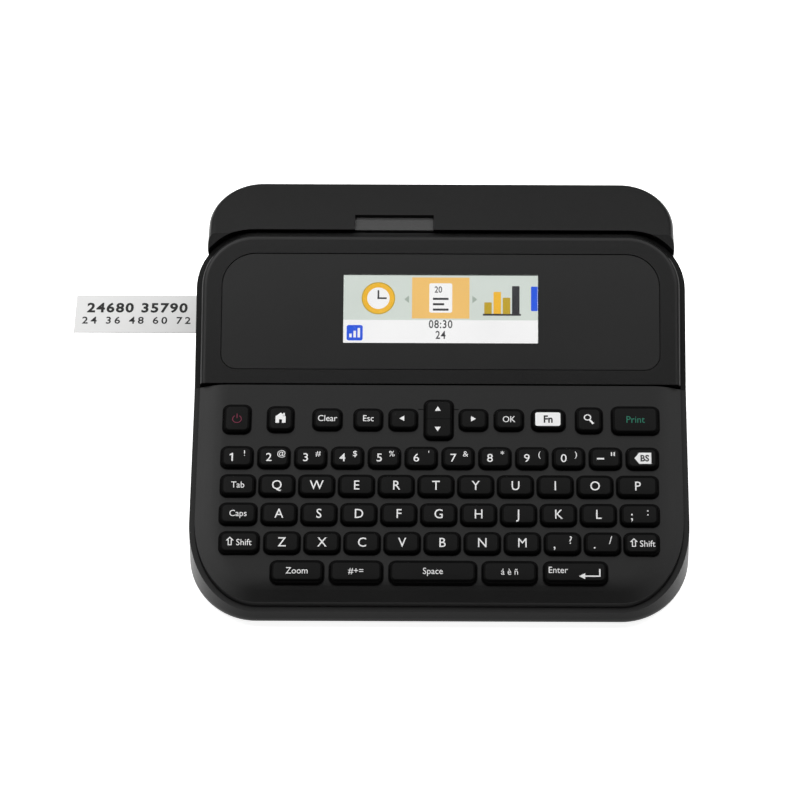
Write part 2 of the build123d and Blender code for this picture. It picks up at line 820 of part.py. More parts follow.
cover_back = rear_y - cover_inset - cover_wall
notch_width = ear_thickness + 2 * ear_gap
notch_bottom = cover_lip - past
notch_top = hinge_z + knuckle_radius + ear_gap + ear_room
with BuildPart() as rear_cover:
    with BuildSketch(Plane.XY.offset(cover_lip)):
        add(plan_outline(cover_inset, cover_narrowing))
    extrude(amount=cover_top - cover_lip)
    fillet(rear_cover.faces().sort_by(Axis.Z)[-1].edges(), cover_round)
    add(cover_space.part, mode=Mode.INTERSECT)
    add(cover_hollow.part, mode=Mode.SUBTRACT)
    with BuildSketch(Plane.XY.offset(cover_top)):
        with Locations((window_x, window_rear_y)):
            Rectangle(window_width, rear_y, align=(Align.CENTER, Align.MAX))
    extrude(amount=-2 * cover_wall, mode=Mode.SUBTRACT)
    for side in (-1, 1):
        with BuildSketch(Plane.XZ.offset(-rear_y)):
            with Locations((side * (ear_x + ear_thickness / 2), notch_bottom)):
                Rectangle(notch_width, notch_top - notch_bottom, align=(Align.CENTER, Align.MIN))
        extrude(amount=2 * past, both=True, mode=Mode.SUBTRACT)
    for side in (-1, 1):
        with BuildSketch(Plane.YZ.offset(side * hinge_x)):
            with Locations((hinge_y, hinge_z)):
                Circle(knuckle_radius)
                Rectangle(cover_back - hinge_y, 2 * knuckle_radius, align=(Align.MIN, Align.CENTER))
        extrude(amount=knuckle_length / 2, both=True)
        with BuildSketch(Plane.YZ.offset(side * (hinge_x + knuckle_length / 2))):
            with Locations((hinge_y, hinge_z)):
                Circle(hinge_pin_radius)
        extrude(amount=side * hinge_pin_length)
save(rear_cover.part, "rear_cover")

with BuildPart() as cover_window:
    window_front_y = parting_point(cover_top, ridge_gap)[0]
    with BuildSketch(Plane.XY.offset(cover_top)):
        with Locations((window_x, window_rear_y - window_gap)):
            depth = window_rear_y - window_gap - window_front_y
            Rectangle(window_width - 2 * window_gap, depth, align=(Align.CENTER, Align.MAX))
    extrude(amount=-cover_wall)
save(cover_window.part, "cover_window")

# Cassette with the roll of tape and the spool that winds up the used ribbon
platen_z = tape_z - tape_gap - platen_radius
idler_angle = degrees(atan2(holder_pivot_x - platen_x, platen_z - holder_pivot_z))
platen_place = (platen_x, platen_z)
idler_place = gear_centre(platen_place, idler_angle, platen_teeth, idler_teeth)
spool_place = gear_centre(idler_place, spool_angle, idler_teeth, spool_teeth)
pinion_place = gear_centre(idler_place, pinion_angle, idler_teeth, pinion_teeth)
idler_phase = idler_angle
platen_phase = meshing_phase(idler_angle + 180, idler_phase, idler_teeth, platen_teeth)
spool_phase = meshing_phase(spool_angle, idler_phase, idler_teeth, spool_teeth)
pinion_phase = meshing_phase(pinion_angle, idler_phase, idler_teeth, pinion_teeth)
gear_back_y = plate_y - gear_gap
gear_front_y = gear_back_y - gear_width

cassette_height = cassette_top - cassette_bottom
cassette_middle = ((cassette_left + cassette_right) / 2, (cassette_top + cassette_bottom) / 2)
with BuildPart() as cassette_case:
    with BuildSketch(across(cassette_front_y)):
        with Locations(cassette_middle):
            RectangleRounded(cassette_width, cassette_height, cassette_round)
    extrude(amount=cassette_front_y - cassette_back_y)
    with BuildSketch(across(cassette_front_y + cassette_wall)):
        with Locations(cassette_middle):
            inner_round = cassette_round - cassette_wall
            inner_width = cassette_width - 2 * cassette_wall
            inner_height = cassette_height - 2 * cassette_wall
            RectangleRounded(inner_width, inner_height, inner_round)
    extrude(amount=-(tape_width + 2 * cassette_gap), mode=Mode.SUBTRACT)
    with BuildSketch(across(cassette_front_y)):
        with Locations((roll_x, roll_z)):
            Circle(roll_bore_radius - pin_clearance)
    extrude(amount=cassette_front_y - cassette_back_y)
    with BuildSketch(across(cassette_front_y)):
        with Locations(spool_place):
            Circle(spool_shaft_radius + shell_gap)
    extrude(amount=-cassette_wall, mode=Mode.SUBTRACT)
    with Locations((cassette_left, tape_y, tape_z - tape_gap + slot_height / 2)):
        Box(4 * cassette_wall, tape_width + cassette_gap, slot_height, mode=Mode.SUBTRACT)
save(cassette_case.part, "cassette_case")

with BuildPart() as tape_roll:
    with BuildSketch(across(tape_front_y)):
        with Locations((roll_x, roll_z)):
            Circle(roll_radius)
            Circle(roll_bore_radius, mode=Mode.SUBTRACT)
    extrude(amount=-tape_width)
save(tape_roll.part, "tape_roll")

with BuildPart() as take_up_spool:
    extrude(gear_face(across(gear_front_y), spool_place, spool_teeth, spool_phase), amount=-gear_width)
    with BuildSketch(across(gear_front_y)):
        with Locations(spool_place):
            Circle(spool_shaft_radius)
    extrude(amount=gear_front_y - tape_back_y)
    with BuildSketch(across(tape_front_y)):
        with Locations(spool_place):
            Circle(spool_radius)
    extrude(amount=-tape_width)
save(take_up_spool.part, "take_up_spool")

# Mechanism plate with its side flange and the pins that the gears, the holder and the cutter turn on
flange_left = plate_left - flange_thickness
blade_left = flange_left - blade_thickness
moving_blade_right = blade_left - blade_gap
moving_blade_left = moving_blade_right - blade_thickness
label_start_x = moving_blade_left - blade_gap
with BuildPart() as mechanism_plate:
    with BuildSketch(across(plate_y)):
        with Locations((flange_left, floor_z)):
            Rectangle(plate_right - flange_left, plate_top - floor_z, align=Align.MIN)
        with Locations((platen_x - holder_gap, platen_z - holder_gap)):
            Circle(platen_hole_radius, mode=Mode.SUBTRACT)
        with Locations(spool_place):
            Circle(spool_shaft_radius + pin_clearance, mode=Mode.SUBTRACT)
    extrude(amount=-plate_thickness)
    with BuildSketch(Plane.YZ.offset(flange_left)):
        with Locations((flange_front_y, floor_z)):
            Rectangle(plate_y - flange_front_y, flange_top - floor_z, align=Align.MIN)
        with Locations((cutter_motor_y, cutter_pivot_z)):
            Circle(cutter_shaft_radius + shell_gap, mode=Mode.SUBTRACT)
    extrude(amount=flange_thickness)
    with BuildSketch(across(plate_y)):
        with Locations(idler_place):
            Circle(idler_pin_radius)
    extrude(amount=plate_y - gear_front_y)
    with BuildSketch(across(plate_back)):
        with Locations((holder_pivot_x, holder_pivot_z)):
            Circle(holder_pin_radius)
    extrude(amount=plate_back - holder_back_y)
    with BuildSketch(Plane.YZ.offset(flange_left)):
        with Locations((cutter_pivot_y, cutter_pivot_z)):
            Circle(shaft_radius)
    extrude(amount=moving_blade_left - flange_left)
save(mechanism_plate.part, "mechanism_plate")

with BuildPart() as idler_gear:
    idler_bore = idler_pin_radius + pin_clearance
    idler_face = gear_face(across(gear_front_y), idler_place, idler_teeth, idler_phase, idler_bore)
    extrude(idler_face, amount=-gear_width)
save(idler_gear.part, "idler_gear")

with BuildPart() as motor_pinion:
    pinion_bore = shaft_radius + pin_clearance
    pinion_face = gear_face(across(gear_front_y), pinion_place, pinion_teeth, pinion_phase, pinion_bore)
    extrude(pinion_face, amount=-gear_width)
save(motor_pinion.part, "motor_pinion")

motor_face_y = gear_front_y - gear_gap
leg_places = [
    (pinion_place[0] + motor_leg_reach, pinion_place[1]),
    (pinion_place[0], pinion_place[1] - motor_leg_reach),
]
with BuildPart() as feed_motor:
    with BuildSketch(across(motor_face_y)):
        with Locations(pinion_place):
            Circle(motor_radius)
    extrude(amount=motor_length)
    with BuildSketch(across(motor_face_y)):
        with Locations(pinion_place):
            Circle(motor_leg_reach + motor_leg_radius + motor_leg_rim)
    extrude(amount=motor_flange)
    with BuildSketch(across(motor_face_y)):
        with Locations(*leg_places):
            Circle(motor_leg_radius)
    extrude(amount=motor_face_y - plate_y)
    with BuildSketch(across(motor_face_y)):
        with Locations(pinion_place):
            Circle(shaft_radius)
    extrude(amount=motor_face_y - gear_back_y)
save(feed_motor.part, "feed_motor")

# Platen roller on its shaft, in a holder that drops to let a cassette in
roller_front_y = plate_back + 2 * holder_gap + holder_arm_thickness
with BuildPart() as platen_roller:
    with BuildSketch(across(roller_front_y)):
        with Locations(platen_place):
            Circle(platen_radius)
            Circle(shaft_radius, mode=Mode.SUBTRACT)
    extrude(amount=roller_front_y - tape_back_y)
save(platen_roller.part, "platen_roller")

with BuildPart() as platen_shaft:
    extrude(gear_face(across(gear_front_y), platen_place, platen_teeth, platen_phase), amount=-gear_width)
    with BuildSketch(across(gear_front_y)):
        with Locations(platen_place):
            Circle(shaft_radius)
    extrude(amount=gear_front_y - holder_back_y)
save(platen_shaft.part, "platen_shaft")

arm_points = [
    (holder_pivot_x + holder_arm_half, holder_pivot_z - holder_arm_half),
    (holder_pivot_x + holder_arm_half, holder_pivot_z + holder_arm_half),
    (platen_x + holder_arm_half, holder_pivot_z + holder_arm_half),
    (platen_x + holder_arm_half, platen_z + holder_arm_half - holder_gap),
    (platen_x - holder_arm_half, platen_z + holder_arm_half - holder_gap),
    (platen_x - holder_arm_half, holder_pivot_z - holder_arm_half),
]
holder_front_y = plate_back + holder_gap
bar_right = holder_pivot_x - holder_pin_radius - holder_gap
with BuildPart() as roller_holder:
    for arm_y in (holder_front_y, holder_back_y - holder_arm_thickness):
        with BuildSketch(across(arm_y)):
            with BuildLine():
                Polyline(*arm_points, close=True)
            make_face()
            with Locations(platen_place):
                Circle(shaft_radius + pin_clearance, mode=Mode.SUBTRACT)
            with Locations((holder_pivot_x, holder_pivot_z)):
                Circle(holder_pin_radius + pin_clearance, mode=Mode.SUBTRACT)
        extrude(amount=-holder_arm_thickness)
    with BuildSketch(across(holder_front_y)):
        with Locations((bar_right, holder_pivot_z - holder_arm_half)):
            Rectangle(4 * holder_bar, holder_bar, align=(Align.MAX, Align.MIN))
    extrude(amount=holder_front_y - holder_back_y)
save(roller_holder.part, "roller_holder")

# Print head above the tape: a narrow nose under a wide heat sink
head_z = tape_z + tape_thickness + tape_gap
nose_half = 1.0
nose_height = 3.0
head_points = [
    (platen_x - nose_half, head_z),
    (platen_x + nose_half, head_z),
    (platen_x + holder_arm_half - holder_gap, head_z + nose_height),
    (platen_x + holder_arm_half - holder_gap, head_z + head_height),
    (platen_x - holder_arm_half, head_z + head_height),
    (platen_x - holder_arm_half, head_z + nose_height),
]
with BuildPart() as print_head:
    with BuildSketch(across(plate_back)):
        with BuildLine():
            Polyline(*head_points, close=True)
        make_face()
    extrude(amount=plate_back - tape_back_y)
save(print_head.part, "print_head")

# Tape inside the machine, and the finished label in front of the cutter, tipped a little to the front
label_end_x = -half_width - label_overhang
label_lean = (0, -sin(radians(label_tilt)), cos(radians(label_tilt)))
tape_plane = Plane(origin=(0, tape_front_y, tape_z))
label_plane = Plane(origin=(0, tape_front_y, tape_z), x_dir=(1, 0, 0), z_dir=label_lean)
for name, plane, first_x, last_x in (
    ("tape_path", tape_plane, blade_left, tape_start_x),
    ("label_strip", label_plane, label_end_x, label_start_x),
):
    with BuildPart() as tape:
        with BuildSketch(plane):
            with Locations((first_x, 0)):
                Rectangle(last_x - first_x, tape_width, align=Align.MIN)
        extrude(amount=tape_thickness)
    save(tape.part, name)

# Cutter: a fixed blade under the tape, and a swinging one with a toothed sector that a small gear turns
with BuildPart() as cutter_fixed_blade:
    with BuildSketch(Plane.YZ.offset(flange_left)):
        with Locations((fixed_blade_front_y, fixed_blade_bottom)):
            height = tape_z - tape_gap - fixed_blade_bottom
            Rectangle(blade_end_y - fixed_blade_front_y, height, align=Align.MIN)
    extrude(amount=-blade_thickness)
save(cutter_fixed_blade.part, "cutter_fixed_blade")

blade_reach = blade_end_y - cutter_pivot_y
blade_rise = (blade_reach - cutter_hub_radius) * tan(radians(blade_slope))
sector_step = 360 / sector_teeth
sector_spread = radians(sector_step * sector_count / 2)
sector_reach = 2 * pitch_radius(sector_teeth)
with BuildPart() as cutter_blade:
    with BuildSketch(Plane.YZ.offset(moving_blade_right)):
        with Locations((cutter_pivot_y, cutter_pivot_z)):
            Circle(pitch_radius(sector_teeth) - tooth_root)
            Polygon(
                (0, 0),
                (-sector_reach, -sector_reach * tan(sector_spread)),
                (-sector_reach, sector_reach * tan(sector_spread)),
                align=None,
                mode=Mode.INTERSECT,
            )
            first_tooth = 180 - sector_step * (sector_count - 1) / 2
            with PolarLocations(0, sector_count, first_tooth, sector_step * sector_count):
                tooth(sector_teeth)
            Circle(cutter_hub_radius)
            Polygon(
                (0, -blade_lift),
                (cutter_hub_radius, -blade_lift),
                (blade_reach, blade_rise - blade_lift),
                (blade_reach, blade_rise - blade_lift + blade_height),
                (0, cutter_hub_radius),
                align=None,
            )
            Circle(shaft_radius + pin_clearance, mode=Mode.SUBTRACT)
    extrude(amount=-blade_thickness)
save(cutter_blade.part, "cutter_blade")

cutter_gear_right = flange_left - gear_gap
cutter_gear_place = (cutter_motor_y, cutter_pivot_z)
cutter_gear_phase = meshing_phase(180, 180, sector_teeth, pinion_teeth)
with BuildPart() as cutter_gear:
    gear_plane = Plane.YZ.offset(cutter_gear_right)
    gear_bore = cutter_shaft_radius + pin_clearance
    extrude(
        gear_face(gear_plane, cutter_gear_place, pinion_teeth, cutter_gear_phase, gear_bore),
        amount=-cutter_gear_width,
    )
save(cutter_gear.part, "cutter_gear")

with BuildPart() as cutter_motor:
    with BuildSketch(Plane.YZ.offset(plate_left)):
        with Locations(cutter_gear_place):
            Circle(cutter_motor_radius)
    extrude(amount=cutter_motor_length)
    with BuildSketch(Plane.YZ.offset(plate_left)):
        with Locations(cutter_gear_place):
            Circle(cutter_shaft_radius)
    extrude(amount=cutter_gear_right - cutter_gear_width - plate_left)
save(cutter_motor.part, "cutter_motor")

# Battery compartment: a tray with a front wall, the cells and their contacts
cell_places = [(first_cell_x + 2 * cell_radius * place, cell_y) for place in range(2 * cell_pairs)]
tray_front_y = cell_y - cell_radius - cell_side_gap - tray_wall
tray_floor_top = tray_z + tray_wall
cell_bottom = tray_floor_top + contact_thickness
contact_z = cell_bottom + cell_length + cell_gap
with BuildPart() as battery_tray:
    with BuildSketch(Plane.YZ.offset(tray_left)):
        with Locations((tray_front_y, floor_z)):
            Rectangle(tray_wall, tray_top - floor_z, align=Align.MIN)
        with Locations((tray_front_y, tray_z)):
            Rectangle(tray_back_y - tray_front_y, tray_wall, align=Align.MIN)
    extrude(amount=tray_right - tray_left)
save(battery_tray.part, "battery_tray")

with BuildPart() as battery_cells:
    with BuildSketch(Plane.XY.offset(cell_bottom)):
        with Locations(*cell_places):
            Circle(cell_radius - cell_gap)
    extrude(amount=cell_length - nub_height)
    with BuildSketch(Plane.XY.offset(cell_bottom)):
        with Locations(*cell_places):
            Circle(nub_radius)
    extrude(amount=cell_length)
save(battery_cells.part, "battery_cells")

pair_places = [(first_cell_x + cell_radius * (4 * pair + 1), cell_y) for pair in range(cell_pairs)]
pair_width = 4 * cell_radius - 2 * cell_side_gap
contact_back_y = tray_front_y + tray_wall
with BuildPart() as battery_contacts:
    with BuildSketch(Plane.XY.offset(tray_floor_top)):
        with Locations(*pair_places):
            Rectangle(pair_width, contact_width)
    extrude(amount=contact_thickness)
    for x, y in pair_places:
        with BuildSketch(Plane.YZ.offset(x)):
            with Locations((contact_back_y, contact_z)):
                Rectangle(contact_width, contact_thickness, align=Align.MIN)
                Rectangle(contact_thickness, contact_thickness + contact_leg, align=Align.MIN)
        extrude(amount=pair_width / 2, both=True)
save(battery_contacts.part, "battery_contacts")

# Main board, sockets in the back wall, feet and screws
with BuildPart() as main_board:
    with BuildSketch(Plane.XY.offset(main_board_z)):
        with Locations((main_board_left, main_board_front)):
            Rectangle(main_board_right - main_board_left, main_board_back - main_board_front, align=Align.MIN)
    extrude(amount=board_thickness)
save(main_board.part, "main_board")

wall_inside_y = rear_y - case_wall
socket_face_y = rear_y - 2 * shell_gap
with BuildPart() as dc_jack:
    with BuildSketch(across(wall_inside_y)):
        with Locations((jack_x, socket_z)):
            Rectangle(jack_body_width, jack_body_height)
    extrude(amount=jack_length)
    with BuildSketch(across(socket_face_y)):
        with Locations((jack_x, socket_z)):
            Circle(jack_radius)
    extrude(amount=socket_face_y - wall_inside_y)
    with BuildSketch(across(socket_face_y)):
        with Locations((jack_x, socket_z)):
            Circle(jack_bore_radius)
    extrude(amount=jack_bore_depth, mode=Mode.SUBTRACT)
save(dc_jack.part, "dc_jack")

with BuildPart() as usb_port:
    with BuildSketch(across(wall_inside_y)):
        with Locations((usb_x, socket_z)):
            Rectangle(usb_width + 2 * usb_wall, usb_height + 2 * usb_wall)
    extrude(amount=usb_length)
    with BuildSketch(across(socket_face_y)):
        with Locations((usb_x, socket_z)):
            RectangleRounded(usb_width, usb_height, usb_wall)
    extrude(amount=socket_face_y - wall_inside_y)
    with BuildSketch(across(socket_face_y)):
        with Locations((usb_x, socket_z)):
            Rectangle(usb_width - 2 * usb_wall, usb_height - 2 * usb_wall)
    extrude(amount=usb_length - usb_wall, mode=Mode.SUBTRACT)
save(usb_port.part, "usb_port")

foot_x = half_width - foot_in_x
foot_y = rear_y - foot_in_y
with BuildPart() as rubber_feet:
    with BuildSketch():
        with GridLocations(2 * foot_x, 2 * foot_y, 2, 2):
            Circle(foot_radius)
    extrude(amount=foot_height)
save(rubber_feet.part, "rubber_feet")

with BuildPart() as case_screws:
    with BuildSketch(Plane.XY.offset(base_z)):
        with Locations(*screw_places):
            Circle(screw_head_radius)
    extrude(amount=screw_head_height)
    with BuildSketch(Plane.XY.offset(base_z)):
        with Locations(*screw_places):
            Circle(screw_radius)
    extrude(amount=boss_top - base_z)
save(case_screws.part, "case_screws")
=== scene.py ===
# %% [markdown]
# # A desktop label maker
# The solids of the machine come from CAD as a fixed frame: case, deck, display, rear cover and the tape
# drive inside. This lesson dresses them. It gives every surface its finish, models the soft key caps with
# their printed signs, draws the picture on the display, and lights the whole as in a plain studio.

# %% Load the frame
import json
import math

import bpy
from mathutils import Matrix, Vector


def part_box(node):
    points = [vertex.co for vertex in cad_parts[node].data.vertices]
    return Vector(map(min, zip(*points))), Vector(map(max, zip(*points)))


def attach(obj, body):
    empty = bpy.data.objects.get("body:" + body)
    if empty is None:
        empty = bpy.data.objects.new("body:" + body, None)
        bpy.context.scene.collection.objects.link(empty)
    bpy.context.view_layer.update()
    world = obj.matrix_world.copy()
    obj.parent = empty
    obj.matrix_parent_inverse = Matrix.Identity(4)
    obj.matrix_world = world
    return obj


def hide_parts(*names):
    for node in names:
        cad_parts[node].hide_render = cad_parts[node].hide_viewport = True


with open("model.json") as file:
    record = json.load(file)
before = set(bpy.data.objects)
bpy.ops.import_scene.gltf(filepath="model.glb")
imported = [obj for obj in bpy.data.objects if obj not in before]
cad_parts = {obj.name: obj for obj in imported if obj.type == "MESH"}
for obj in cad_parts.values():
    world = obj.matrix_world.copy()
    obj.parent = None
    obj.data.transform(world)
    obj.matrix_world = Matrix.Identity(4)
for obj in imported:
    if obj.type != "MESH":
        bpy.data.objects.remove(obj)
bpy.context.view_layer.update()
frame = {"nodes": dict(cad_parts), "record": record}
nodes = frame["nodes"]
bpy.ops.object.select_all(action="DESELECT")
MM = 0.001

# %% [markdown]
# ## Two slopes
# Nearly all that shows lies on one of two tilted planes: the keyboard deck and the display behind it. Both
# start at the same seam. Describing a place as "so far across, so far up the slope, so far above it" keeps
# every later step short, so a slope is held as a 4 by 4 matrix. The label hangs out beside the case, so the
# middle of the machine is the middle of its lower case, not the middle of the frame. Names in capitals are
# fixed values. Lengths among them are in metres; only those of drawn signs, further down, are in mm.

# %% The planes of the deck and of the display
DECK_SLOPE = math.radians(17.7)
DISPLAY_SLOPE = math.radians(36.7)
case_low, case_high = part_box("bottom_case")
MIDDLE = (case_low.x + case_high.x) / 2
SEAM = Vector((MIDDLE, 0.0045, 0.045))


def slope_matrix(angle):
    """Matrix from a slope's own axes, across, up and out of it, to the frame."""
    return Matrix.Translation(SEAM) @ Matrix.Rotation(angle, 4, "X")


deck = slope_matrix(DECK_SLOPE)
display = slope_matrix(DISPLAY_SLOPE)


def slope_box(piece, slope):
    """Lowest and highest corner of a piece, in a slope's own axes."""
    into = slope.inverted()
    local = [into @ vertex.co for vertex in piece.data.vertices]
    low = Vector([min(point[axis] for point in local) for axis in range(3)])
    high = Vector([max(point[axis] for point in local) for axis in range(3)])
    return low, high


lens_low, lens_high = slope_box(nodes["screen_lens"], display)
print("lens on the slope, mm", [round(value / MM, 2) for value in (*lens_low, *lens_high)])

# %% [markdown]
# ## Camera
# The machine is seen from the front and well above, through a long lens: the case hardly narrows towards
# the back. Such a view is a camera two metres away with a narrow field. It stands a little to the right of
# the machine's middle, and a small sideways shift of the lens brings the label into the frame. The picture
# leans by a fraction of a degree, so the camera is rolled as little.

# %% Camera
CAMERA_TILT = math.radians(37.6)
CAMERA_ROLL = math.radians(0.22)
CAMERA_DISTANCE = 2.0
LENS_MM = 220.5
LENS_SHIFT = -0.087
FAR_END = 20
TARGET_ASIDE = 0.012
TARGET_HEIGHT = 0.0406
target = Vector((MIDDLE + TARGET_ASIDE, 0, TARGET_HEIGHT))
bpy.ops.object.camera_add(rotation=(math.pi / 2 - CAMERA_TILT, 0, 0))
camera = bpy.context.object
camera.name = "camera"
back_and_up = Vector((0, -math.cos(CAMERA_TILT), math.sin(CAMERA_TILT)))
camera.location = target + CAMERA_DISTANCE * back_and_up
camera.rotation_euler.rotate_axis("Z", CAMERA_ROLL)
camera.data.lens = LENS_MM
camera.data.shift_x = LENS_SHIFT
camera.data.clip_end = FAR_END
bpy.context.scene.camera = camera
bpy.context.scene.view_settings.view_transform = "Standard"
print("camera at", [round(value, 3) for value in camera.location])

# %% [markdown]
# ## Floor and light
# The background is white paper. The floor is a white sheet that also takes the soft shadow. It lies a hair
# below the feet, so that the two never share a plane. Its material adds a glow for the camera's own rays
# and for what glossy or clear pieces mirror or let through, so that the sheet reads as white without more
# light on the machine.
#
# On black plastic it is the reflections, more than the colour, that show the shape. A row of three soft
# lights hangs over the machine and reaches to the back: the deck mirrors the middle one and turns an even
# dark grey. The row ends above the front edge, so the front roll stays black. The lights at the two ends
# are brighter and draw the pale bands along the rolled sides.

# %% Floor
FLOOR_SIZE = 12
FLOOR_DROP = 0.2 * MM
PAPER_WHITE = 0.92
PAPER_GLOW = 0.9
bpy.ops.mesh.primitive_plane_add(size=FLOOR_SIZE, location=(0, 0, -FLOOR_DROP))
floor = bpy.context.object
floor.name = "floor"
paper = bpy.data.materials.new("white_paper")
paper.use_nodes = True
tree = paper.node_tree
sheet = tree.nodes["Principled BSDF"]
sheet.inputs["Base Color"].default_value = (PAPER_WHITE, PAPER_WHITE, PAPER_WHITE, 1)
sheet.inputs["Roughness"].default_value = 0.9
sheet.inputs["Specular IOR Level"].default_value = 0.1
sheet.inputs["Emission Color"].default_value = (1, 1, 1, 1)
path = tree.nodes.new("ShaderNodeLightPath")
seen = tree.nodes.new("ShaderNodeMath")
seen.operation = "MAXIMUM"
mirrored = tree.nodes.new("ShaderNodeMath")
mirrored.operation = "MAXIMUM"
glow = tree.nodes.new("ShaderNodeMath")
glow.operation = "MULTIPLY"
glow.inputs[1].default_value = PAPER_GLOW
for source, target_socket in (
    (path.outputs["Is Camera Ray"], seen.inputs[0]),
    (path.outputs["Is Transmission Ray"], seen.inputs[1]),
    (seen.outputs[0], mirrored.inputs[0]),
    (path.outputs["Is Glossy Ray"], mirrored.inputs[1]),
    (mirrored.outputs[0], glow.inputs[0]),
    (glow.outputs[0], sheet.inputs["Emission Strength"]),
):
    tree.links.new(source, target_socket)
floor.data.materials.append(paper)
print("floor", floor.name, "of", FLOOR_SIZE, "m")

# %% World and lights
ROOM_LIGHT = 0.06
LIGHT_HEIGHT = 0.62
SIDE_LIGHT_OUT = 0.58
world = bpy.context.scene.world or bpy.data.worlds.new("studio")
bpy.context.scene.world = world
world.use_nodes = True
tree = world.node_tree
tree.nodes.clear()
output = tree.nodes.new("ShaderNodeOutputWorld")
room = tree.nodes.new("ShaderNodeBackground")
room.inputs["Color"].default_value = (1, 1, 1, 1)
room.inputs["Strength"].default_value = ROOM_LIGHT
white = tree.nodes.new("ShaderNodeBackground")
white.inputs["Color"].default_value = (1, 1, 1, 1)
white.inputs["Strength"].default_value = 1
choose = tree.nodes.new("ShaderNodeMixShader")
path = tree.nodes.new("ShaderNodeLightPath")
tree.links.new(path.outputs["Is Camera Ray"], choose.inputs["Fac"])
tree.links.new(room.outputs[0], choose.inputs[1])
tree.links.new(white.outputs[0], choose.inputs[2])
tree.links.new(choose.outputs[0], output.inputs["Surface"])


def soft_light(name, place, size, radiance):
    """A rectangular area light that looks down, of this brightness."""
    bpy.ops.object.light_add(type="AREA", location=place)
    lamp = bpy.context.object
    lamp.name = name
    lamp.data.shape = "RECTANGLE"
    lamp.data.size, lamp.data.size_y = size
    lamp.data.energy = radiance * math.pi * size[0] * size[1]
    lamp.visible_camera = False
    print(name, "watts", round(lamp.data.energy, 2))


soft_light("light_overhead", (MIDDLE, 0.31, LIGHT_HEIGHT), (0.56, 0.9), 1.5)
for name, side, radiance in (("light_left", -1, 3.4), ("light_right", 1, 2.1)):
    soft_light(name, (MIDDLE + side * SIDE_LIGHT_OUT, 0.26, LIGHT_HEIGHT), (0.6, 1.0), radiance)

# %% [markdown]
# ## Moulded plastic
# Black moulded plastic is never one flat colour. The mould leaves a fine grain that spreads the light, and
# handling makes the gloss uneven. Both are noise of different sizes, and several finishes share them, so
# they live in one node group with the grain's size and depth as its inputs.

# %% Node group for the mould's grain
RELIEF = 0.2 * MM
PATCH_SCALE = 22
grain = bpy.data.node_groups.new("mould_grain", "ShaderNodeTree")
for socket_name in ("Colour", "Worn Colour"):
    grain.interface.new_socket(socket_name, in_out="INPUT", socket_type="NodeSocketColor")
for socket_name in ("Grain Scale", "Grain Depth", "Roughness", "Unevenness"):
    grain.interface.new_socket(socket_name, in_out="INPUT", socket_type="NodeSocketFloat")
grain.interface.new_socket("Colour", in_out="OUTPUT", socket_type="NodeSocketColor")
grain.interface.new_socket("Roughness", in_out="OUTPUT", socket_type="NodeSocketFloat")
grain.interface.new_socket("Normal", in_out="OUTPUT", socket_type="NodeSocketVector")
group_in = grain.nodes.new("NodeGroupInput")
group_out = grain.nodes.new("NodeGroupOutput")
place = grain.nodes.new("ShaderNodeTexCoord")
fine = grain.nodes.new("ShaderNodeTexNoise")
fine.inputs["Detail"].default_value = 3
broad = grain.nodes.new("ShaderNodeTexNoise")
broad.inputs["Scale"].default_value = PATCH_SCALE
broad.inputs["Detail"].default_value = 5
bump = grain.nodes.new("ShaderNodeBump")
bump.inputs["Distance"].default_value = RELIEF
shade = grain.nodes.new("ShaderNodeMix")
shade.data_type = "RGBA"
spread = grain.nodes.new("ShaderNodeMath")
spread.operation = "SUBTRACT"
spread.inputs[1].default_value = 0.5
uneven = grain.nodes.new("ShaderNodeMath")
uneven.operation = "MULTIPLY_ADD"
for source, target_socket in (
    (place.outputs["Object"], fine.inputs["Vector"]),
    (place.outputs["Object"], broad.inputs["Vector"]),
    (group_in.outputs["Grain Scale"], fine.inputs["Scale"]),
    (group_in.outputs["Grain Depth"], bump.inputs["Strength"]),
    (fine.outputs["Fac"], bump.inputs["Height"]),
    (bump.outputs["Normal"], group_out.inputs["Normal"]),
    (broad.outputs["Fac"], shade.inputs["Factor"]),
    (group_in.outputs["Colour"], shade.inputs["A"]),
    (group_in.outputs["Worn Colour"], shade.inputs["B"]),
    (shade.outputs["Result"], group_out.inputs["Colour"]),
    (broad.outputs["Fac"], spread.inputs[0]),
    (spread.outputs[0], uneven.inputs[0]),
    (group_in.outputs["Unevenness"], uneven.inputs[1]),
    (group_in.outputs["Roughness"], uneven.inputs[2]),
    (uneven.outputs[0], group_out.inputs["Roughness"]),
):
    grain.links.new(source, target_socket)
print("group", grain.name, "with", len(grain.nodes), "nodes")


# %% Function for a moulded finish
UNEVENNESS = 0.12


def moulded(name, colour, worn, roughness, scale=2600, depth=0.25, metallic=0.0, specular=0.5):
    """Material of one shader that takes its colour, gloss and relief from the mould grain."""
    finish = bpy.data.materials.new(name)
    finish.use_nodes = True
    tree = finish.node_tree
    shader = tree.nodes["Principled BSDF"]
    shader.inputs["Metallic"].default_value = metallic
    shader.inputs["Specular IOR Level"].default_value = specular
    surface = tree.nodes.new("ShaderNodeGroup")
    surface.node_tree = grain
    surface.inputs["Colour"].default_value = (*colour, 1)
    surface.inputs["Worn Colour"].default_value = (*worn, 1)
    surface.inputs["Grain Scale"].default_value = scale
    surface.inputs["Grain Depth"].default_value = depth
    surface.inputs["Roughness"].default_value = roughness
    surface.inputs["Unevenness"].default_value = UNEVENNESS
    tree.links.new(surface.outputs["Colour"], shader.inputs["Base Color"])
    tree.links.new(surface.outputs["Roughness"], shader.inputs["Roughness"])
    tree.links.new(surface.outputs["Normal"], shader.inputs["Normal"])
    return finish


def grey(level):
    """The same number for red, green and blue."""
    return (level, level, level)


def ink_finish(name, colour, worn):
    """Matt printing ink."""
    return moulded(name, colour, worn, 0.5, scale=1800, depth=0.1, specular=0.2)


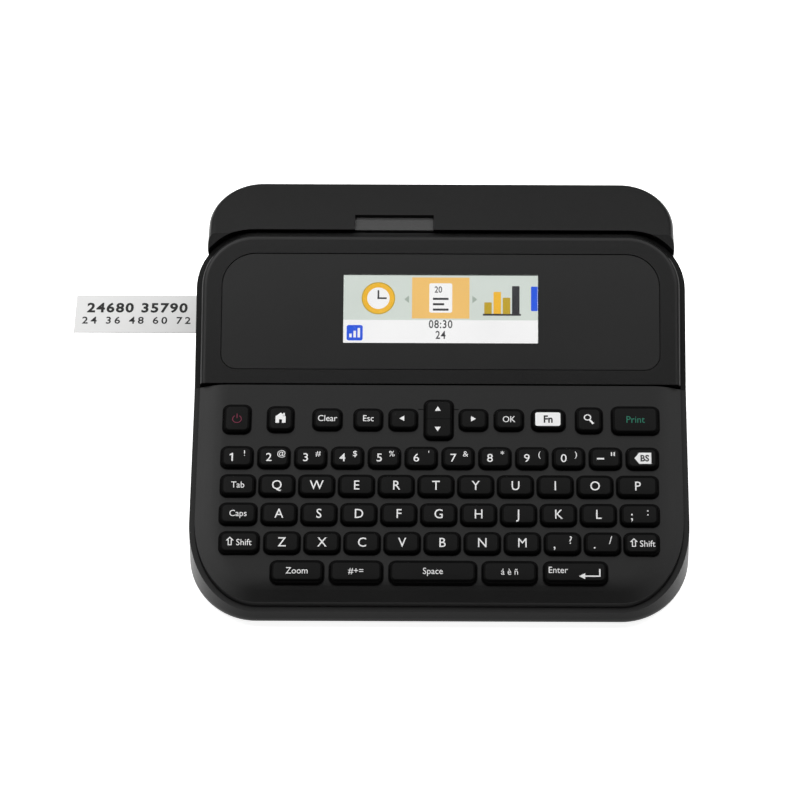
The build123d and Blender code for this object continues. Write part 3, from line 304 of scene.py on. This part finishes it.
case_finish = moulded("case_black", grey(0.006), grey(0.0075), 0.38, specular=0.17)
# Painted light: the hump gets a paler black than the case, for the light on its steep face.
hump_painted_light_finish = moulded("hump_black_painted_light", grey(0.0105), grey(0.0125), 0.38, specular=0.2)
panel_finish = moulded("panel_black", grey(0.0165), grey(0.0185), 0.38, depth=0.12, specular=0.24)
key_finish = moulded("key_black", grey(0.0022), grey(0.0032), 0.42, depth=0.15, specular=0.075)
# Painted shade: a deeper black with less gloss, used on the key sides, the rings round the key openings and
# the arrow groove.
painted_shade_finish = moulded("painted_shade_black", grey(0.0012), grey(0.0018), 0.5, depth=0.15, specular=0.03)
rubber_finish = moulded("rubber_black", grey(0.012), grey(0.018), 0.8, depth=0.5)
tray_finish = moulded("tray_black", grey(0.012), grey(0.016), 0.55)
gear_finish = moulded("gear_white", (0.78, 0.78, 0.73), (0.7, 0.7, 0.64), 0.4, depth=0.1)
cassette_finish = moulded("cassette_grey", grey(0.045), grey(0.055), 0.4, depth=0.15)
tape_finish = moulded("label_white", (0.69, 0.69, 0.685), (0.66, 0.66, 0.655), 0.32, scale=900, depth=0.05)
board_finish = moulded("board_green", (0.02, 0.13, 0.05), (0.03, 0.17, 0.07), 0.35, scale=700, depth=0.3)
steel_finish = moulded("plate_steel", grey(0.5), grey(0.58), 0.35, scale=1500, depth=0.1, metallic=1.0)
# The blade's steel is painted near black: painted shade for the blade where it shows through the notch at
# the cover's corner.
blade_finish = moulded("blade_steel", grey(0.09), grey(0.11), 0.35, scale=3000, depth=0.08, metallic=1.0)
motor_finish = moulded("motor_steel", grey(0.42), grey(0.5), 0.3, scale=1200, depth=0.08, metallic=1.0)
head_finish = moulded("head_aluminium", grey(0.62), grey(0.68), 0.4, scale=1800, depth=0.15, metallic=1.0)
cell_finish = moulded("cell_wrap", grey(0.03), grey(0.036), 0.25, scale=600, depth=0.04)
back_finish = moulded("display_back", grey(0.2), grey(0.24), 0.5)
inks = {
    "white": ink_finish("ink_white", grey(0.88), grey(0.84)),
    "dark": ink_finish("ink_dark", grey(0.012), grey(0.018)),
    "red": ink_finish("ink_red", (0.16, 0.012, 0.04), (0.13, 0.01, 0.035)),
    "green": ink_finish("ink_green", (0.012, 0.17, 0.105), (0.01, 0.145, 0.09)),
}
print("materials so far", len(bpy.data.materials))

# %% [markdown]
# ## Window plastics
# Two pieces are see-through: the clear lens over the display and the smoky window that shows how much tape
# is left. The lens is glass to the shader. The smoky one lets through only a third of the light, and gets
# its tint from a dark base colour. Each solid then gets the finish that the record names for it. Only the
# hump that carries the display gets a paler black: painted light on its steep face.

# %% See-through finishes
PLASTIC_IOR = 1.49


def see_through(name, tint, roughness, share):
    """Clear or smoky plastic: a share of the light goes through it and takes its tint."""
    finish = bpy.data.materials.new(name)
    finish.use_nodes = True
    shader = finish.node_tree.nodes["Principled BSDF"]
    shader.inputs["Base Color"].default_value = (*tint, 1)
    shader.inputs["Roughness"].default_value = roughness
    shader.inputs["IOR"].default_value = PLASTIC_IOR
    shader.inputs["Transmission Weight"].default_value = share
    return finish


lens_finish = see_through("screen_glass", (1, 1, 1), 0.02, 1.0)
window_finish = see_through("window_smoke", grey(0.07), 0.18, 0.35)
print("see-through finishes", lens_finish.name, window_finish.name)

# %% Dress the solids
finishes = {
    "case_black": case_finish,
    "panel_black": panel_finish,
    "screen_glass": lens_finish,
    "window_smoke": window_finish,
    "key_black": key_finish,
    "label_white": tape_finish,
    "rubber_black": rubber_finish,
    "plate_steel": steel_finish,
    "blade_steel": blade_finish,
    "gear_white": gear_finish,
    "motor_steel": motor_finish,
    "head_aluminium": head_finish,
    "board_green": board_finish,
    "cassette_grey": cassette_finish,
    "tray_black": tray_finish,
    "cell_wrap": cell_finish,
    "display_back": back_finish,
}
for entry in frame["record"]["subparts"]:
    dressed = nodes[entry["node"]]
    dressed.data.materials.clear()
    dressed.data.materials.append(finishes[entry["material_slot"]])
# The hump takes the paler black, painted light, in place of its own finish.
nodes["display_housing"].data.materials[0] = hump_painted_light_finish

# %% [markdown]
# ## Key caps
# Each key is a soft cap with round corners and a crowned top. The solids have plain caps in the same
# places. A cap is modelled as by hand: a cube at the size of the solid, only a little lower, its upright
# edges bevelled round, then its upper rim bevelled softly. A row that is one solid node becomes one piece
# of several caps. The sides of each cap are painted a deeper black than the top: painted shade, for the
# sides stay in the shade of the deck. The up and down keys look like one block with a hairline across it:
# where they meet, their ends stay square.

# %% Helpers to place and join pieces
TINY = 0.00001


def only(piece):
    """Select one object and make it the active one."""
    bpy.ops.object.select_all(action="DESELECT")
    piece.select_set(True)
    bpy.context.view_layer.objects.active = piece


def place_on(piece, slope, across, up, out):
    """Put a piece that was made at the origin on a slope, and keep that place in its mesh."""
    only(piece)
    piece.matrix_world = slope @ Matrix.Translation((across, up, out))
    bpy.ops.object.transform_apply(location=True, rotation=True, scale=True)


def joined(pieces, name, finish, body):
    """Make one named piece of several that moves with a body, with one finish or with their own."""
    bpy.ops.object.select_all(action="DESELECT")
    for piece in pieces:
        piece.select_set(True)
    bpy.context.view_layer.objects.active = pieces[0]
    if len(pieces) > 1:
        bpy.ops.object.join()
    whole = pieces[0]
    whole.name = name
    if finish:
        whole.data.materials.clear()
        whole.data.materials.append(finish)
    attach(whole, body)
    return whole


def solids_of(node):
    """Boxes of a node's separate solids on the deck, from a copy that is taken apart."""
    copy = nodes[node].copy()
    copy.data = nodes[node].data.copy()
    copy.parent = None
    bpy.context.scene.collection.objects.link(copy)
    only(copy)
    bpy.ops.object.mode_set(mode="EDIT")
    bpy.ops.mesh.select_all(action="SELECT")
    bpy.ops.mesh.remove_doubles(threshold=TINY)
    bpy.ops.mesh.separate(type="LOOSE")
    bpy.ops.object.mode_set(mode="OBJECT")
    boxes = [slope_box(piece, deck) for piece in bpy.context.selected_objects]
    bpy.ops.object.delete()
    return sorted(boxes, key=lambda box: box[0].x)


# %% Helpers to model a piece from a box
def box_of(size):
    """A box of this size at the origin, with its size in its mesh."""
    bpy.ops.mesh.primitive_cube_add(size=1)
    piece = bpy.context.object
    piece.scale = size
    bpy.ops.object.transform_apply(location=True, rotation=True, scale=True)
    return piece


def bevel_edges(piece, wanted, offset, segments, clamp=False):
    """Bevel the edges whose two ends pass a test, and leave the others."""
    bpy.ops.object.mode_set(mode="EDIT")
    bpy.ops.mesh.select_mode(type="EDGE")
    bpy.ops.mesh.select_all(action="DESELECT")
    bpy.ops.object.mode_set(mode="OBJECT")
    for edge in piece.data.edges:
        edge.select = wanted(*[piece.data.vertices[index].co for index in edge.vertices])
    bpy.ops.object.mode_set(mode="EDIT")
    bpy.ops.mesh.bevel(offset=offset, segments=segments, affect="EDGES", clamp_overlap=clamp)
    bpy.ops.object.mode_set(mode="OBJECT")


# %% Model the caps
CORNER = 2.7 * MM
CROWN = 1.2 * MM
SMOOTH_BELOW = math.radians(35)
FACES_UP = 0.995


def model_cap(low, high, square=0):
    """A rounded cap that fills a box on the deck. Its lower (-1) or upper (1) end can stay square."""
    size = high - low
    cap = box_of(size)
    top = size.z / 2 - TINY
    square_end = size.y / 2 - TINY

    def upright(start, end):
        """An upright edge, but not at the end that stays square."""
        return abs(start.z - end.z) > size.z / 2 and square * start.y <= 0

    def rim(start, end):
        """An edge of the top, but not along the end that stays square."""
        along_square = square != 0 and min(square * start.y, square * end.y) >= square_end
        return min(start.z, end.z) > top and not along_square

    bevel_edges(cap, upright, CORNER, segments=6)
    bevel_edges(cap, rim, CROWN, segments=5, clamp=True)
    bpy.ops.object.shade_smooth_by_angle(angle=SMOOTH_BELOW)
    cap.data.materials.append(key_finish)
    cap.data.materials.append(painted_shade_finish)
    # Faces that don't look up get the deeper black: painted shade on the key sides.
    for face in cap.data.polygons:
        face.material_index = 0 if face.normal.z > FACES_UP else 1
    place_on(cap, deck, *((low + high) / 2))
    return cap


# %% Place the caps
MEETING_GAP = 0.08 * MM
CAP_SINK = 0.4 * MM
cap_places = {}
for body in frame["record"]["behaviour"]["bodies"]:
    if body.endswith(("_key", "_keys")):
        cap_places[body] = solids_of(body)
        for low, high in cap_places[body]:
            high.z -= CAP_SINK
up_low, down_high = cap_places["up_key"][0][0], cap_places["down_key"][0][1]
meeting_line = (up_low.y + down_high.y) / 2
up_low.y, down_high.y = meeting_line + MEETING_GAP, meeting_line - MEETING_GAP
square_ends = {"up_key": -1, "down_key": 1}
for body, places in cap_places.items():
    caps = [model_cap(low, high, square_ends.get(body, 0)) for low, high in places]
    piece = joined(caps, f"cap_{body}", None, body)
    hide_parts(body)
print("caps", sum(len(places) for places in cap_places.values()))

# %% [markdown]
# ## Signs on the keys
# The signs are printed in white ink, a few in colour. Print has hardly any thickness, but as a thin plate
# it stays crisp from any side and rides on its key. Letters come from text objects that are turned into
# meshes. Arrows and other drawn signs are flat curves filled between their outlines. A text object's size
# isn't the height of its capitals, so a capital is measured first. All sizes of signs are in mm.

# %% Measure a capital
INK = 0.04 * MM
bpy.ops.object.text_add()
ruler = bpy.context.object
ruler.data.body = "H"
bpy.ops.object.convert(target="MESH")
CAPITAL = bpy.context.object.dimensions.y
bpy.ops.object.delete()
print("capitals measure", round(CAPITAL, 3), "of the text size")


# %% Helpers for printed signs
def word(text, height, weight=0.25, spacing=1.0, narrow=0.84):
    """Printed word with capitals of this height, made narrower, and bolder by tenths of a mm."""
    bpy.ops.object.select_all(action="DESELECT")
    bpy.ops.object.text_add(location=(0, 0, 0))
    sign = bpy.context.object
    sign.data.body = text
    sign.data.align_x = "CENTER"
    sign.data.size = height * MM / CAPITAL
    sign.data.space_character = spacing
    sign.data.resolution_u = 3
    sign.data.extrude = INK
    sign.data.offset = 0.1 * weight * MM
    bpy.ops.object.convert(target="MESH")
    sign = bpy.context.object
    sign.location.y = -height * MM / 2
    sign.scale.x = narrow
    bpy.ops.object.transform_apply(location=True, rotation=False, scale=True)
    return sign


def drawn(*outlines):
    """Printed plate inside the outlines. An outline that lies inside another is cut out of it."""
    curve = bpy.data.curves.new("sign", "CURVE")
    curve.dimensions = "2D"
    curve.fill_mode = "BOTH"
    curve.extrude = INK
    for outline in outlines:
        spline = curve.splines.new("POLY")
        spline.points.add(len(outline) - 1)
        for corner, (x, y) in zip(spline.points, outline):
            corner.co = (x * MM, y * MM, 0, 1)
        spline.use_cyclic_u = True
    sign = bpy.data.objects.new("sign", curve)
    bpy.context.scene.collection.objects.link(sign)
    only(sign)
    bpy.ops.object.convert(target="MESH")
    return bpy.context.object


def arc(radius, start=0, sweep=360, count=32, middle=(0, 0)):
    """Points along an arc, in mm and degrees."""
    steps = count if sweep == 360 else count + 1
    turns = [math.radians(start + sweep * step / count) for step in range(steps)]
    x, y = middle
    return [(x + radius * math.cos(turn), y + radius * math.sin(turn)) for turn in turns]


def block(width, height, corner=0.0, middle=(0, 0)):
    """Outline of a rectangle, with round corners where a radius is given."""
    x, y = width / 2 - corner, height / 2 - corner
    signs = ((1, 1), (-1, 1), (-1, -1), (1, -1))
    places = [(middle[0] + a * x, middle[1] + b * y) for a, b in signs]
    if not corner:
        return places
    points = []
    for quarter, corner_middle in enumerate(places):
        points += arc(corner, 90 * quarter, sweep=90, count=6, middle=corner_middle)
    return points


# %% Helper to print on a cap
SIGN_DROP = 0.3
prints = {}


def print_on(body, sign, across=0.0, up=0.0, ink="white", key=0, layer=1):
    """Lay a sign on a cap, at a place in mm from the middle of its top."""
    low, high = cap_places[body][key]
    middle = (low + high) / 2
    out = high.z + (layer - 0.5) * INK
    place_on(sign, deck, middle.x + across * MM, middle.y + (up - SIGN_DROP) * MM, out)
    prints.setdefault((body, ink), []).append(sign)


# %% Figures and marks
FIGURE_HEIGHT = 3.8
MARK_HEIGHT = 2.6
one = [(0.4, 1.95), (-0.05, 1.95), (-0.95, 1.2), (-0.95, 0.65), (-0.2, 1.1), (-0.2, -1.95), (0.4, -1.95)]
own_figures = {"1": one, "-": block(2.9, 0.75, middle=(0, -0.2))}
own_marks = {'"': [block(0.5, 1.8, middle=(side * 0.55, 0.2)) for side in (-1, 1)]}
for key, (figure, mark) in enumerate(zip("1234567890-", "!@#$%'&*()\"")):
    if figure in own_figures:
        sign = drawn(own_figures[figure])
    else:
        sign = word(figure, FIGURE_HEIGHT, weight=0.1, narrow=0.95)
    print_on("number_keys", sign, -2.0, -0.1, key=key)
    if mark in own_marks:
        sign = drawn(*own_marks[mark])
    else:
        sign = word(mark, MARK_HEIGHT, weight=0.25 if mark == "*" else 0.0, narrow=0.95)
    print_on("number_keys", sign, 3.0, 1.8, key=key)
print("signs on the number keys", len(prints["number_keys", "white"]))

# %% Letters and words
LETTER_HEIGHT = 4.3
WORD_HEIGHT = 2.9
for row, letters in (
    ("upper_letter_keys", "QWERTYUIOP"),
    ("middle_letter_keys", "ASDFGHJKL"),
    ("lower_letter_keys", "ZXCVBNM"),
):
    for key, letter in enumerate(letters):
        # The outline of the M crosses itself when it is made bolder, so that letter stays as it is.
        weight = 0.0 if letter == "M" else 0.12
        print_on(row, word(letter, LETTER_HEIGHT, weight), 0.0, 0.2, key=key)
for row, key, sign, mark in (
    ("middle_letter_keys", 9, ";", ":"),
    ("lower_letter_keys", 7, ",", "?"),
    ("lower_letter_keys", 8, ".", "/"),
):
    print_on(row, word(sign, 4.4), -3.2, -0.2, key=key)
    print_on(row, word(mark, 3.6, weight=0.1), 3.2, 1.6, key=key)
for body, text, across, up in (
    ("clear_key", "Clear", 0.0, 0.4),
    ("escape_key", "Esc", 0.0, 0.4),
    ("ok_key", "OK", 0.0, 0.2),
    ("tab_key", "Tab", 0.0, 0.2),
    ("caps_key", "Caps", 0.0, 0.2),
    ("left_shift_key", "Shift", 1.9, 0.0),
    ("right_shift_key", "Shift", 2.3, 0.0),
    ("zoom_key", "Zoom", 0.0, 0.4),
    ("symbol_key", "#+=", 0.0, 0.4),
    ("space_key", "Space", 0.0, 0.4),
    ("accent_key", "á è ñ", 0.0, 0.2),
    ("enter_key", "Enter", -7.0, 1.1),
):
    print_on(body, word(text, WORD_HEIGHT, weight=0.0), across, up)
print_on("print_key", word("Print", 3.2, weight=0.0), 0.0, 0.3, ink="green")
print_on("function_key", drawn(block(10.2, 6.6, 0.9)), -0.2, 0.3)
print_on("function_key", word("Fn", 3.3, weight=1.5), -0.1, 0.3, ink="dark", layer=2)
backspace = [(-3.4, 0), (-1.5, 2.7), (3.4, 2.7), (3.4, -2.7), (-1.5, -2.7)]
print_on("number_keys", drawn(backspace), 0.2, 0.0, key=11)
print_on("number_keys", word("BS", WORD_HEIGHT, weight=1.2), 0.9, 0.0, ink="dark", key=11, layer=2)
print("printed pieces so far", len(prints))

# %% Drawn signs
for body, tip, across, up in (
    ("left_key", [(-1.0, 0), (1.0, -1.3), (1.0, 1.3)], -0.6, 0.4),
    ("right_key", [(1.0, 0), (-1.0, 1.3), (-1.0, -1.3)], 0.0, 0.3),
    ("up_key", [(0, 1.1), (-1.2, -1.1), (1.2, -1.1)], -0.4, 0.5),
    ("down_key", [(0, -1.1), (1.2, 1.1), (-1.2, 1.1)], -0.4, 0.0),
):
    print_on(body, drawn(tip), across, up)
arrow = [(0, 2.2), (-1.6, 0.4), (-0.8, 0.4), (-0.8, -1.9)]
arrow += [(-x, y) for x, y in reversed(arrow[1:])]
arrow_hole = [(0, 1.55), (-0.75, 0.75), (-0.42, 0.75), (-0.42, -1.5)]
arrow_hole += [(-x, y) for x, y in reversed(arrow_hole[1:])]
print_on("left_shift_key", drawn(arrow, arrow_hole), -3.7, 0.4)
print_on("right_shift_key", drawn(arrow, arrow_hole), -3.1, 0.4)
enter = [(-4.3, 0), (-1.8, 1.4), (-1.8, 0.3), (3.75, 0.3), (3.75, 3.4), (4.3, 3.4)]
enter += [(4.3, -0.3), (-1.8, -0.3), (-1.8, -1.4)]
print_on("enter_key", drawn(enter), 5.6, -1.8)
house = [(0, 2.6), (-2.05, 0.75), (-2.05, -2.4), (-0.6, -2.4), (-0.6, -0.7)]
house += [(-x, y) for x, y in reversed(house[1:])]
chimney = block(0.7, 1.6, middle=(1.35, 1.6))
for outline in (house, chimney):
    print_on("home_key", drawn(outline), 0.0, 0.4)
print_on("search_key", drawn(arc(1.5), arc(1.05)), -0.6, 1.2)
glass_handle = [(0.75, -0.45), (2.45, -2.5), (1.8, -3.05), (0.2, -0.95)]
print_on("search_key", drawn(glass_handle), -0.4, 0.9)
power_ring = arc(1.95, start=120, sweep=300, count=36) + arc(1.6, start=60, sweep=-300, count=36)
power_bar = block(0.4, 2.2, middle=(0, 1.5))
for outline in (power_ring, power_bar):
    print_on("power_key", drawn(outline), 0.0, -0.2, ink="red")
print("signs in all", sum(len(signs) for signs in prints.values()))

# %% Join the print of each key
for (body, colour), signs in prints.items():
    joined(signs, f"print_{colour}_{body}", inks[colour], body)
print("printed pieces", len(prints))

# %% [markdown]
# ## The picture on the display
# The colour display shows a row of large pictures with one of them chosen. A display makes its own light,
# so its colours are emission, not paint. The backlight is a little uneven and the pixels form a fine
# lattice; both sit in one node group. The picture is built from flat plates of light, one piece for each
# colour, laid just under a thin pane of clear plastic. Plates that overlap lie in layers, each a hair above
# the last.

# %% Node group for the backlight
CLOUD_SCALE = 45
PIXEL_SCALE = 5200
PIXEL_SHARE = 0.25
backlight = bpy.data.node_groups.new("backlight", "ShaderNodeTree")
backlight.interface.new_socket("Colour", in_out="INPUT", socket_type="NodeSocketColor")
backlight.interface.new_socket("Dim Colour", in_out="INPUT", socket_type="NodeSocketColor")
backlight.interface.new_socket("Colour", in_out="OUTPUT", socket_type="NodeSocketColor")
group_in = backlight.nodes.new("NodeGroupInput")
group_out = backlight.nodes.new("NodeGroupOutput")
place = backlight.nodes.new("ShaderNodeTexCoord")
cloud = backlight.nodes.new("ShaderNodeTexNoise")
cloud.inputs["Scale"].default_value = CLOUD_SCALE
lattice = backlight.nodes.new("ShaderNodeTexChecker")
lattice.inputs["Scale"].default_value = PIXEL_SCALE
weigh = backlight.nodes.new("ShaderNodeMath")
weigh.operation = "MULTIPLY_ADD"
weigh.inputs[1].default_value = PIXEL_SHARE
dim = backlight.nodes.new("ShaderNodeMix")
dim.data_type = "RGBA"
for source, target_socket in (
    (place.outputs["Object"], cloud.inputs["Vector"]),
    (place.outputs["Object"], lattice.inputs["Vector"]),
    (lattice.outputs["Fac"], weigh.inputs[0]),
    (cloud.outputs["Fac"], weigh.inputs[2]),
    (weigh.outputs[0], dim.inputs["Factor"]),
    (group_in.outputs["Colour"], dim.inputs["A"]),
    (group_in.outputs["Dim Colour"], dim.inputs["B"]),
    (dim.outputs["Result"], group_out.inputs["Colour"]),
):
    backlight.links.new(source, target_socket)
print("group", backlight.name, "with", len(backlight.nodes), "nodes")


# %% Function for a lit colour
DIMMEST = 0.9


def lit(name, colour):
    """Material of a patch of the display that gives out one colour."""
    finish = bpy.data.materials.new(name)
    finish.use_nodes = True
    tree = finish.node_tree
    shader = tree.nodes["Principled BSDF"]
    shader.inputs["Base Color"].default_value = (0.01, 0.01, 0.01, 1)
    shader.inputs["Roughness"].default_value = 0.6
    shader.inputs["Emission Strength"].default_value = 1.0
    light = tree.nodes.new("ShaderNodeGroup")
    light.node_tree = backlight
    light.inputs["Colour"].default_value = (*colour, 1)
    light.inputs["Dim Colour"].default_value = (*[DIMMEST * value for value in colour], 1)
    tree.links.new(light.outputs["Colour"], shader.inputs["Emission Color"])
    return finish


lights = {
    "white": lit("lit_white", (1.0, 1.0, 1.0)),
    "pale": lit("lit_pale", (0.7, 0.765, 0.71)),
    "orange": lit("lit_orange", (0.95, 0.58, 0.17)),
    "yellow": lit("lit_yellow", (0.95, 0.52, 0.03)),
    "gold": lit("lit_gold", (0.56, 0.38, 0.02)),
    "dark": lit("lit_dark", (0.03, 0.03, 0.035)),
    "blue": lit("lit_blue", (0.015, 0.1, 0.8)),
    "grey": lit("lit_grey", (0.4, 0.47, 0.41)),
}
print("lit colours", len(lights))

# %% Helper to lay plates of light
PICTURE_EDGE = 0.15
screen_middle = (lens_low + lens_high) / 2
screen_size = (lens_high - lens_low) / MM
picture_width, picture_height = [length - 2 * PICTURE_EDGE for length in screen_size.xy]
shown = {}


def show(colour, sign, across=0.0, up=0.0, layer=1):
    """Lay a lit plate on the display, at a place in mm from the middle of the picture."""
    out = lens_low.z + layer * INK
    place_on(sign, display, screen_middle.x + across * MM, screen_middle.y + up * MM, out)
    shown.setdefault(colour, []).append(sign)


print("picture, mm", round(picture_width, 2), "by", round(picture_height, 2))

# %% Ground of the picture and the chosen list
PALE_SHARE = 0.66
LIST_UP = 4.8
LINE_LENGTH = 6.4
pale_height = PALE_SHARE * picture_height
show("white", drawn(block(picture_width, picture_height)), layer=0)
show("pale", drawn(block(picture_width, pale_height)), 0.0, (picture_height - pale_height) / 2)
show("orange", drawn(block(23.6, 17.6)), 0.0, LIST_UP, layer=2)
show("white", drawn(block(9.4, 12.6, 0.8)), 0.0, LIST_UP, layer=3)
for row, length in enumerate((LINE_LENGTH, 4.6, LINE_LENGTH)):
    show("dark", drawn(block(length, 0.9)), (length - LINE_LENGTH) / 2, 4.4 - 2.3 * row, layer=4)
show("dark", word("20", 2.6, weight=0.4), -1.0, 8.4, layer=4)
for side in (-1, 1):
    pointer = [(side, 0), (-side, 1.6), (-side, -1.6)]
    show("grey", drawn(pointer), side * 14.0, 4.2, layer=2)
print("colours shown so far", len(shown))

# %% Clock
CLOCK_PLACE = (-25.6, 4.6)
clock_hand = [(-0.35, -0.4), (0.35, -0.4), (0.35, 3.4), (-0.35, 3.4)]
for colour, layer, *outlines in (
    ("yellow", 2, arc(6.6, count=48)),
    ("white", 3, arc(4.6, count=48)),
    ("gold", 3, arc(6.9, count=48), arc(6.5, count=48)),
    ("dark", 4, clock_hand),
    ("dark", 4, [(y, -x) for x, y in clock_hand]),
):
    show(colour, drawn(*outlines), *CLOCK_PLACE, layer=layer)
print("colours shown so far", len(shown))

# %% Bars, figures and corner sign
BAR_PLACES = (19.4, 23.2, 27.0, 30.8)
BAR_FOOT = -2.0
STEP_PLACES = (-36.9, -35.2, -33.5)
STEP_FOOT = -12.2
for across, rise, colour in zip(BAR_PLACES, (5.0, 9.5, 7.0, 12.0), ("gold", "yellow", "gold", "dark")):
    show(colour, drawn(block(3.1, rise, 0.3)), across, BAR_FOOT + rise / 2, layer=2)
show("dark", drawn(block(15.6, 0.8)), 25.1, -2.3, layer=2)
show("blue", drawn(block(2.6, 10.5, 0.3)), picture_width / 2 - 1.4, 4.6, layer=2)
for figures, up in (("08:30", -6.4), ("24", -11.0)):
    show("dark", word(figures, 3.3, weight=0.5, spacing=1.1), 0.0, up, layer=2)
show("blue", drawn(block(6.6, 6.6, 0.9)), -35.2, -10.2, layer=2)
for across, rise in zip(STEP_PLACES, (1.6, 2.8, 4.0)):
    show("white", drawn(block(1.0, rise)), across, STEP_FOOT + rise / 2, layer=3)
for colour, signs in shown.items():
    joined(signs, f"screen_{colour}", lights[colour], "case")
print("picture pieces", len(shown))

# %% [markdown]
# ## The pane over the picture
# The solid has a plain lens. The pane is a plate as thin as the real one, with softened edges, at the same
# height as the lens's outer face.

# %% Pane
PANE_THICK = 0.45 * MM
PANE_SOFT = 0.15 * MM
pane = box_of((lens_high.x - lens_low.x, lens_high.y - lens_low.y, PANE_THICK))
bevel_edges(pane, lambda start, end: min(start.z, end.z) > 0, PANE_SOFT, segments=2)
place_on(pane, display, screen_middle.x, screen_middle.y, lens_high.z - PANE_THICK / 2)
joined([pane], "screen_pane", lens_finish, "case")
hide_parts("screen_lens")
print("pane", [round(value / MM, 2) for value in pane.dimensions])

# %% [markdown]
# ## The window in the cover
# The window that shows the tape is a thin smoky pane, sunk into its opening, so a dark step frames it. In
# the solids it fills the opening up to the roof. Here it is a plate at the underside of the roof, set back
# a little from the edge of the roof, with the two corners at the back bevelled round.

# %% Sunk window
WINDOW_THICK = 0.6 * MM
WINDOW_SET_BACK = 1.6 * MM
WINDOW_CORNER = 1.0 * MM
window_low, window_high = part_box("cover_window")
window_low.y += WINDOW_SET_BACK
window = box_of((window_high.x - window_low.x, window_high.y - window_low.y, WINDOW_THICK))


def back_corner(start, end):
    """An upright edge of the window at its back."""
    return min(start.y, end.y) > 0 and abs(start.z - end.z) > WINDOW_THICK / 2


bevel_edges(window, back_corner, WINDOW_CORNER, segments=5)
window.location = (window_low + window_high) / 2
window.location.z = window_low.z + WINDOW_THICK / 2
bpy.ops.object.transform_apply(location=True, rotation=True, scale=True)
joined([window], "window_pane", window_finish, "cover")
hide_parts("cover_window")
print("window", [round(value / MM, 2) for value in window.dimensions])

# %% [markdown]
# ## The printed label
# The tape comes out of the side already printed. The print is two lines of plain figures, a bold one over a
# light one, in the same thin plates of ink as on the keys, on the tape's own gentle tilt.

# %% Print on the label
LABEL_TILT = math.radians(4.0)
LINES_ASIDE = 0.8 * MM
tape_low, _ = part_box("label_strip")
label = Matrix.Translation((MIDDLE, tape_low.y, tape_low.z)) @ Matrix.Rotation(LABEL_TILT, 4, "X")
strip_low, strip_high = slope_box(nodes["label_strip"], label)
label_across = (tape_low.x + case_low.x) / 2 - MIDDLE - LINES_ASIDE
label_up = (strip_low.y + strip_high.y) / 2
lines = []
for text, height, up, weight, spacing in (
    ("24680 35790", 5.6, 3.9, 2.6, 1.17),
    ("24 36 48 60 72", 4.2, -4.2, 0.9, 1.42),
):
    line = word(text, height, weight, spacing)
    place_on(line, label, label_across, label_up + up * MM, strip_high.z + INK / 2)
    print("line", text, "is", round(line.dimensions.x / MM, 1), "mm long")
    lines.append(line)
joined(lines, "label_print", inks["dark"], "case")

# %% [markdown]
# ## Small details
# The edge of each key's opening lies in shade and shows as a black line round the cap, a little wider at
# the cap's upper end. A flat black ring on the deck is painted shade that stands for it. A hairline of
# painted shade stands for the groove in the deck that ties the four arrow keys into one cross, and the
# power inlet at the back has its centre pin. All of these are too small for the solids.

# %% Painted shade round each opening
# Each ring is painted shade: a flat black plate for the shade in the gap round a cap.
RING = 0.5
RING_TOP = 0.5
RING_GAP = 0.06
cap_corner = CORNER / MM
rings = []
ring_places = [box for body, boxes in cap_places.items() if body not in square_ends for box in boxes]
ring_places.append((cap_places["down_key"][0][0], cap_places["up_key"][0][1]))
for low, high in ring_places:
    across, along = ((high - low) / MM).xy
    tall = along + 2 * RING + RING_TOP
    outside = block(across + 2 * RING, tall, cap_corner + RING, (0, RING_TOP / 2))
    inside = block(across + 2 * RING_GAP, along + 2 * RING_GAP, cap_corner + RING_GAP)
    ring = drawn(outside, inside)
    place_on(ring, deck, (low.x + high.x) / 2, (low.y + high.y) / 2, INK / 2)
    rings.append(ring)
joined(rings, "opening_shade_rings", painted_shade_finish, "case")
print("rings", len(rings))

# %% Painted shade of the groove beside the arrow keys
# A flat black strip of painted shade stands for each groove.
GROOVE_WIDTH = 0.35
GROOVE_UP = 0.7 * MM
END_GAP = 0.3
grooves = []
arrow_low, arrow_high = cap_places["up_key"][0]
for body, inner, outer in (
    ("left_key", cap_places["left_key"][0][1].x, arrow_low.x),
    ("right_key", arrow_high.x, cap_places["right_key"][0][0].x),
):
    run = (outer - inner) / MM - 2 * END_GAP
    groove = drawn(block(run, GROOVE_WIDTH))
    place_on(groove, deck, (inner + outer) / 2, cap_places[body][0][1].y + GROOVE_UP, INK / 2)
    grooves.append(groove)
joined(grooves, "arrow_groove_shade", painted_shade_finish, "case")
print("grooves", len(grooves))

# %% Pin of the power inlet
inlet = next(mount for mount in frame["record"]["mounts"] if mount["name"] == "dc_inlet")
_, jack_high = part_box("dc_jack")
PIN_RADIUS = 1.0 * MM
PIN_LENGTH = 8.6 * MM
PIN_IN = 5.5 * MM
TIP_ROUND = 0.4 * MM
along_y = (math.pi / 2, 0, 0)
bpy.ops.mesh.primitive_cylinder_add(vertices=24, radius=PIN_RADIUS, depth=PIN_LENGTH, rotation=along_y)
pin = bpy.context.object
bpy.ops.object.transform_apply(location=True, rotation=True, scale=True)
bevel_edges(pin, lambda start, end: min(start.y, end.y) > 0, TIP_ROUND, segments=4)
bpy.ops.object.shade_smooth_by_angle(angle=SMOOTH_BELOW)
pin.location = (inlet["pos_m"][0], jack_high.y - PIN_IN, inlet["pos_m"][2])
bpy.ops.object.transform_apply(location=True, rotation=True, scale=True)
joined([pin], "inlet_pin", blade_finish, "case")
print("pin at", [round(value, 4) for value in inlet["pos_m"]])
